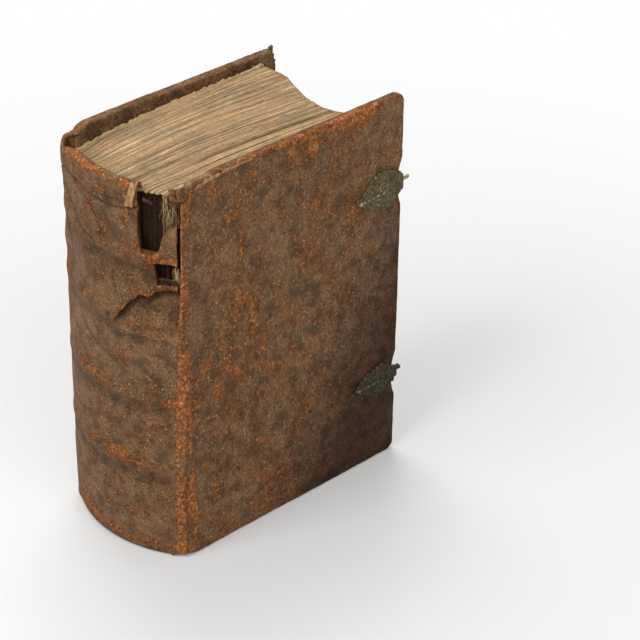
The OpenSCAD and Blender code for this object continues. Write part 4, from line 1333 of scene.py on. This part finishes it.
def rear_edge_flaps():
    """Ragged flaps at the head of the rear cover's fore-edge."""
    flaps = []
    for i in range(9):
        a, b, c = draws(3, i, 19, 303)
        z = np.linspace(195 + 1.75 * i, 195 + 1.75 * i + 3 + 1.5 * a, 6)
        out = 0.9 * np.abs(a) + np.linspace(0, 1.1 * abs(b), 6)
        path = np.stack([-HALF_T + 1.2 + 3.2 * abs(c) + 0 * z, REAR_W - 4.8 + out, z], -1)
        flaps.append(ribbon(path, [1.0, 0.4 * b, 0.1 * c], 2.6 + a, 0.4, 3, 0.2 * b))
    bits("rear_edge_flaps", flaps, body="rear_cover", wear=0, soot=0.5, back=0)


def fibres():
    """Threads of paper and linen that hang from the torn folds, pale ones among browned ones."""
    strands = []
    for i in range(60):
        a, b, c, d = draws(4, i, 9, 310)
        top = 203.5 - 9 * abs(b)
        length = 3 + 6 * abs(c)
        z = np.linspace(top, max(top - length, 172), 7)
        sway = np.cumsum(np.full(7, 0.3 * d)) + 0.7 * rough(2.5, 311 + i, z)
        path = around(arc(33.8 + 2.6 * a) + sway, z, -1.5 + 1.2 * np.abs(rough(4, 312 + i, z)))
        strands.append(tube(path, 0.12, 4))
    for i in range(16):
        a, b, c = draws(3, i, 11, 320)
        z = np.linspace(157.5 + 3 * abs(a), 166.5 - 2 * abs(b), 6)
        path = around(arc(36.2 + 1.4 * c) + 0.6 * rough(3, 321 + i, z), z, -1.0)
        strands.append(tube(path, 0.13, 4))
    bits("torn_fibres", strands[::3], "leaves", PAPER)
    bits("browned_fibres", strands[1::3] + strands[2::3], "leaves", BROWNED)


def fold_scraps():
    """Torn outer folds of the last sections, beside the dark opening."""
    across = unit(around(arc(33.5), 200.0) - around(arc(31.5), 200.0))
    scraps = []
    for i in range(7):
        a, b, c = draws(3, i, 13, 330)
        z = np.linspace(203.0 - 1.5 * abs(a), 186 - 8 * abs(b), 16)
        deep = -2.6 - 0.1 * i + 0.4 * rough(6, 332 + i, z)
        path = around(arc(31.4 + i) + 0.35 * rough(5, 331 + i, z), z, deep)
        scraps.append(ribbon(path, across, 1.7 + 0.5 * c, 0.25, 4, 0.3))
    bits("fold_scraps", scraps, "leaves", BROWNED)


def loose_leaves():
    """Ragged first leaves that stand up beside the rear cover."""
    sheets = []
    for i, (x, rise, fray) in enumerate([(-36.2, 0.2, 1.5), (-35.7, 0.7, 1.7), (-35.1, 0.3, 1.0)]):
        y = lines((-4 + 3 * i, 125.5 - 1.5 * i, 0.45))
        up = np.concatenate([[0, 0.3, 0.6], np.linspace(0.93, 1, 7)])
        grid_y, grid_u = np.meshgrid(y, up, indexing="ij")
        top = head_height(np.full_like(y, x), y) + rise + fray * 0.8 * rough(2.4, 340 + i, y, octaves=3)
        top = top + 0.5 * smooth(y, 104, 120) * (0.6 + 0.6 * rough(3.5, 343 + i, y))
        end = smooth(y, y[0], y[0] + 5) * smooth(-y, -y[-1], -y[-1] + 3)
        fray_u = np.clip((grid_u - 0.93) / 0.07, 0, 1)
        z = PAGE_Z0 + 0.4 + (top[:, None] - PAGE_Z0 - 0.4) * grid_u - 2.5 * (1 - end[:, None]) * fray_u
        lean = (0.5 * rough(5, 346 + i, grid_y, z) + 0.8 * rough(2.5, 349 + i, grid_y, z)) * fray_u ** 3
        points = np.stack([x + lean * (0.6 + 0.5 * smooth(grid_y, 100, 118)), grid_y, z], -1).reshape(-1, 3)
        sheets.append(slab(points, grid_faces(grid_y.shape), 0.16))
    bits("loose_leaves", sheets, "leaves", PAPER)


def headband():
    """Core of the head endband, under the roll of the headcap."""
    angles = np.linspace(-30, 19, 60)
    crest = np.interp(angles, CREST_ANGLES, CREST_HEIGHTS)
    points, faces = tube(around(arc(1) * angles, crest - 3.0, -3.0), 0.9, 8)
    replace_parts(new_piece("headband_core", points, faces, HEMP, "endband", "text_body"), "head_endband")


# Clasp catches, drawn in cover y and height

# Where the plates end at the barrels, and the place and radius of the barrels
CATCH_END = 144.6
BARREL_Y = 145.4
BARREL_R = 1.65
CATCHES = {
    "upper": [
        (113.6, 159), (121, 165.5), (124, 169.4), (128, 171.3), (133, 172), (138, 170.6), (142, 168.4),
        (CATCH_END, 167), (CATCH_END, 155.6), (141, 153.6), (136, 149.8), (129, 149.6), (121, 153.6),
        (115.4, 156.8),
    ],
    "lower": [
        (115.4, 48), (120, 53), (125, 55.6), (130, 57.4), (135, 58.2), (140, 55), (CATCH_END, 52.2),
        (CATCH_END, 43.2), (141, 43.4), (137, 39.6), (131, 38.4), (124, 42.6), (119.6, 45),
    ],
}
# Height of each barrel's middle, and its length
BARRELS = {"upper": (160.6, 9.8), "lower": (48.6, 7.0)}
# Bosses of the cast foliage: place from the tip, height from the middle, radius and rise
BOSSES = [(24.5, 3.2, 3.0, 0.75), (2.2, 0, 1.4, 0.7), (15, -4.4, 1.5, 0.5), (15, 4.6, 1.4, 0.5)]


def catch_relief(y, z, edge, tip_y, mid_z):
    """Height of the cast foliage over the cover, from the distance inside the edge."""
    along = (y - tip_y) / (CATCH_END - tip_y)
    off = z - mid_z
    height = 0.55 + 0.55 * smooth(edge, 0, 0.9)
    beads = 0.5 + 0.5 * np.sin(1.9 * y + 0.7 * z) * np.sign(off)
    height = height + 0.6 * hump(edge, 0.9, 0.5) * (0.45 + 0.55 * beads)
    rib = 1 - smooth(np.abs(off - 0.5 * np.sin(3 * along)), 0.3, 0.9)
    height = height + 0.55 * rib * smooth(along, 0.04, 0.1) * (1 - smooth(along, 0.6, 0.68))
    veins = np.abs(np.sin(0.95 * (y - 0.9 * np.abs(off)) + 1.2 * np.sign(off)))
    height = height + 0.5 * (1 - smooth(veins, 0.12, 0.5)) * smooth(edge, 1.2, 2.0)
    for from_tip, from_middle, radius, rise in BOSSES:
        far = np.hypot(y - (tip_y + from_tip), (off - from_middle) * 0.8)
        height = height + rise * (1 - smooth(far, 0.5 * radius, radius)) + 0.4 * hump(far, radius + 0.5, 0.35)
    return height + 0.22 * rough(1.1, 401, y, z) * smooth(edge, 0, 0.6)


def catch_barrel(name):
    """Barrel that the strap was hooked on, with a rounded end at each side."""
    barrel_z, barrel_l = BARRELS[name]
    z = barrel_z + barrel_l / 2 * np.sin(np.linspace(-math.pi / 2, math.pi / 2, 22))
    round_off = np.sqrt(np.clip(1 - (2 * (z - barrel_z) / barrel_l) ** 6, 0.02, 1))
    path = np.stack([0 * z + HALF_T - 0.4, 0 * z + BARREL_Y, z], -1)
    return tube(path, (BARREL_R + 0.05 * rough(1.2, 403, z)) * round_off, 24)


def catch_plate(name):
    """Cast leaf-shaped plate with its barrel, in relief and with a scalloped edge."""
    outline = CATCHES[name]
    tip_y, mid_z = min(outline)

    def keep(y, z):
        scallop = 0.28 * np.sin(1.9 * y + 0.7 * z) + 0.2 * rough(1.5, 402, y, z)
        return -outline_distance(y, z, outline) + scallop * (1 - smooth(y, 142, 143.5))

    low, high = np.min(outline, axis=0) - 0.6, np.max(outline, axis=0) + 0.6
    y, z, edge, faces = cut_grid(lines((low[0], high[0], 0.24)), lines((low[1], high[1], 0.24)), keep)
    rise = catch_relief(y, z, edge, tip_y, mid_z)
    front = np.stack([HALF_T + rise, y, z], -1)
    rear = np.stack([0 * y + HALF_T - 0.1, y, z], -1)
    # Pale where the relief rises: rubbed brass with painted highlights
    shine = np.clip((rise - 1.15) / 0.9 + 0.5 * rough(0.9, 404, y, z), 0, 1)
    shine = shine * (1 - 0.45 * smooth(y, tip_y + 20, tip_y + 23))
    points, faces, shine, _ = thicken(front, faces, rear, shine)
    barrel = catch_barrel(name)
    shine = np.concatenate([shine, np.full(len(barrel[0]), 0.25)])
    points, faces = joined((points, faces), barrel)
    piece = new_piece(name + "_catch", points, faces, BRASS[name], "old_brass", "front_cover", relief=shine)
    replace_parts(piece, name + "_catch_plate")


def catch_pin(name, length, radius, shine, raised):
    """Short cast knob beyond the barrel, thicker at its rounded end."""
    along = np.array([0, 0.5, 0.62, 0.72, 0.8, 0.88, 0.94, 0.98, 1.0])
    wide = np.array([0.8, 0.86, 0.94, 1.0, 1.03, 1.0, 0.84, 0.55, 0.1])
    low, high = (corner - ORIGIN for corner in box_mm(name + "_catch_pin"))
    x, _, z = (low + high) / 2
    start, end = low[1] - 0.5, FRONT_W + length
    path = np.stack([x + 0 * along, start + (end - start) * along, z + raised + 0.9 * along ** 2], -1)
    points, faces = tube(path, radius * wide, 20)
    shine = np.full(len(points), shine)
    piece = new_piece(name + "_pin", points, faces, BRASS[name], "old_brass", "front_cover", relief=shine)
    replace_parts(piece, name + "_catch_pin")


# Stage, lights and camera

def floor_finish(name):
    """White paint that looks lit to the camera and to shiny things alone, and more so away from the book."""
    f = NodeWork(name)
    f.tree.nodes.clear()
    ray = f.add("ShaderNodeLightPath").outputs
    seen = f.maths("MAXIMUM", ray["Is Camera Ray"], ray["Is Glossy Ray"])
    seen = f.maths("MAXIMUM", seen, ray["Is Transmission Ray"])
    from_book = f.add("ShaderNodeVectorMath", operation="LENGTH")
    f.feed(from_book.inputs[0], f.add("ShaderNodeTexCoord").outputs["Object"])
    growth = f.between(from_book.outputs["Value"], 0.1, 0.6, 0.14, 1.0)
    paint = f.add("ShaderNodeBsdfDiffuse")
    paint.inputs["Color"].default_value = (0.68, 0.68, 0.675, 1)
    glow = f.add("ShaderNodeEmission")
    glow.inputs["Color"].default_value = (1, 1, 1, 1)
    mix = f.add("ShaderNodeMixShader")
    f.feed_all(mix, f.times(seen, growth), paint.outputs[0], glow.outputs[0])
    f.feed(f.add("ShaderNodeOutputMaterial").inputs["Surface"], mix.outputs[0])
    return f.material


def stage():
    """Floor that rises in a bend to a wall, square to the camera's view; in metres."""
    floor = bpy.data.meshes.new("studio_floor")
    far, wall_y, wall_top, bend = 3.0, 1.6, 2.6, 0.8
    foot_y = wall_y - bend
    turns = np.linspace(0.1, math.pi / 2, 16)
    profile = [(-far, 0.0), (foot_y, 0.0)]
    profile += [(foot_y + bend * math.sin(a), bend * (1 - math.cos(a))) for a in turns]
    profile += [(wall_y, wall_top)]
    cosine, sine = math.cos(math.radians(VIEW_AZIMUTH)), math.sin(math.radians(VIEW_AZIMUTH))
    points = [(cosine * x - sine * y, sine * x + cosine * y, z) for x in (-far, far) for y, z in profile]
    n = len(profile)
    floor.from_pydata(points, [], [(i, i + n, i + n + 1, i + 1) for i in range(n - 1)])
    floor.shade_smooth()
    floor.materials.append(floor_finish("studio_white"))
    cyc = bpy.data.objects.new("studio_floor", floor)
    bpy.context.scene.collection.objects.link(cyc)


def looking(azimuth, elevation):
    """Turn of what looks down at an elevation; azimuth 0 is in front of -Y."""
    turn = Matrix.Rotation(math.radians(azimuth), 4, "Z")
    return turn @ Matrix.Rotation(math.radians(90 - elevation), 4, "X")


def soft_box(name, azimuth, elevation, distance, size, power):
    """A square area light that looks at the middle of the book, with its size and distance in metres."""
    data = bpy.data.lights.new(name, "AREA")
    data.size = size
    data.energy = power
    light = bpy.data.objects.new(name, data)
    middle = Matrix.Translation((0, 0, BOOK_H * MM / 2))
    light.matrix_world = middle @ looking(azimuth, elevation) @ Matrix.Translation((0, 0, distance))
    bpy.context.scene.collection.objects.link(light)


# The photo's view: angles in degrees, place in metres, lens and sensor in millimetres
VIEW_AZIMUTH = 45.434
VIEW_ELEVATION = 31.055
VIEW_ROLL = 1.007
VIEW_FROM = (0.8193, -0.74305, 0.7590)
VIEW_LENS = 143.4
VIEW_SENSOR = 36
VIEW_SHIFT = (-0.0012, 0.0016)
# Azimuth, elevation, distance, size and power of each lamp
LAMPS = {
    "key_left": (2, 42, 1.5, 0.9, 16.5),
    "fill_right": (76, 36, 1.9, 1.3, 11),
    "top": (-120, 62, 1.5, 0.8, 13),
}


def camera_and_lights():
    """The photo's camera, its three soft lamps and an even white sky."""
    scene = bpy.context.scene
    data = bpy.data.cameras.new("photo_view")
    data.lens = VIEW_LENS
    data.sensor_width = VIEW_SENSOR
    data.shift_x, data.shift_y = VIEW_SHIFT
    data.clip_end = 20
    camera = bpy.data.objects.new("photo_view", data)
    level = Matrix.Translation(VIEW_FROM) @ looking(VIEW_AZIMUTH, VIEW_ELEVATION)
    camera.matrix_world = level @ Matrix.Rotation(math.radians(VIEW_ROLL), 4, "Z")
    scene.collection.objects.link(camera)
    scene.camera = camera
    scene.view_settings.view_transform = "Standard"
    for name, values in LAMPS.items():
        soft_box(name, *values)
    scene.world = bpy.data.worlds.new("studio")
    scene.world.use_nodes = True
    sky = scene.world.node_tree.nodes["Background"]
    sky.inputs["Color"].default_value = (1, 1, 1, 1)
    sky.inputs["Strength"].default_value = 0.35


def finish_frame_parts():
    """Materials of the construction's own parts that stay in view."""
    looks = {
        "front_board": OAK, "front_pastedown": PAPER, "rear_pastedown": PAPER,
        "front_cord_slips": HEMP, "rear_cord_slips": HEMP, "tail_endband": HEMP,
        "upper_plate_nails": BRASS["upper"], "lower_plate_nails": BRASS["lower"],
    }
    looks.update({f"sewing_cord_{i}": HEMP for i in (1, 2, 3, 4)})
    looks.update({f"spine_lining_{i}": GLUED for i in (1, 2, 3, 4, 5)})
    for name, material in looks.items():
        node = frame["nodes"][name]
        for holder in ([node] if node.type == "MESH" else node.children):
            holder.data.materials.clear()
            holder.data.materials.append(material)


camera_and_lights()
stage()
finish_frame_parts()
spine_skin()
under_layer()
cover_piece("front_skin", "front_cover_leather", side=1, width=FRONT_W, outline=front_outline,
            seam=arc(34.4), pitch=1.2, inner_w=TURN_IN)
cover_piece("rear_skin", "rear_cover_leather", side=-1, width=REAR_W, outline=rear_outline,
            seam=-arc(33.6), pitch=1.4, inner_w=5.0)
rear_board_wood()
text_leaves()
cap_bits()
joint_tuft()
head_edge_strip()
rear_edge_flaps()
fibres()
fold_scraps()
loose_leaves()
headband()
for catch in CATCHES:
    catch_plate(catch)
# Pale ends of the pins: rubbed brass with painted highlight, strong on the upper pin and weak on the lower
catch_pin("upper", length=4.8, radius=1.05, shine=0.8, raised=-0.6)
catch_pin("lower", length=3.0, radius=1.45, shine=0.2, raised=1.2)
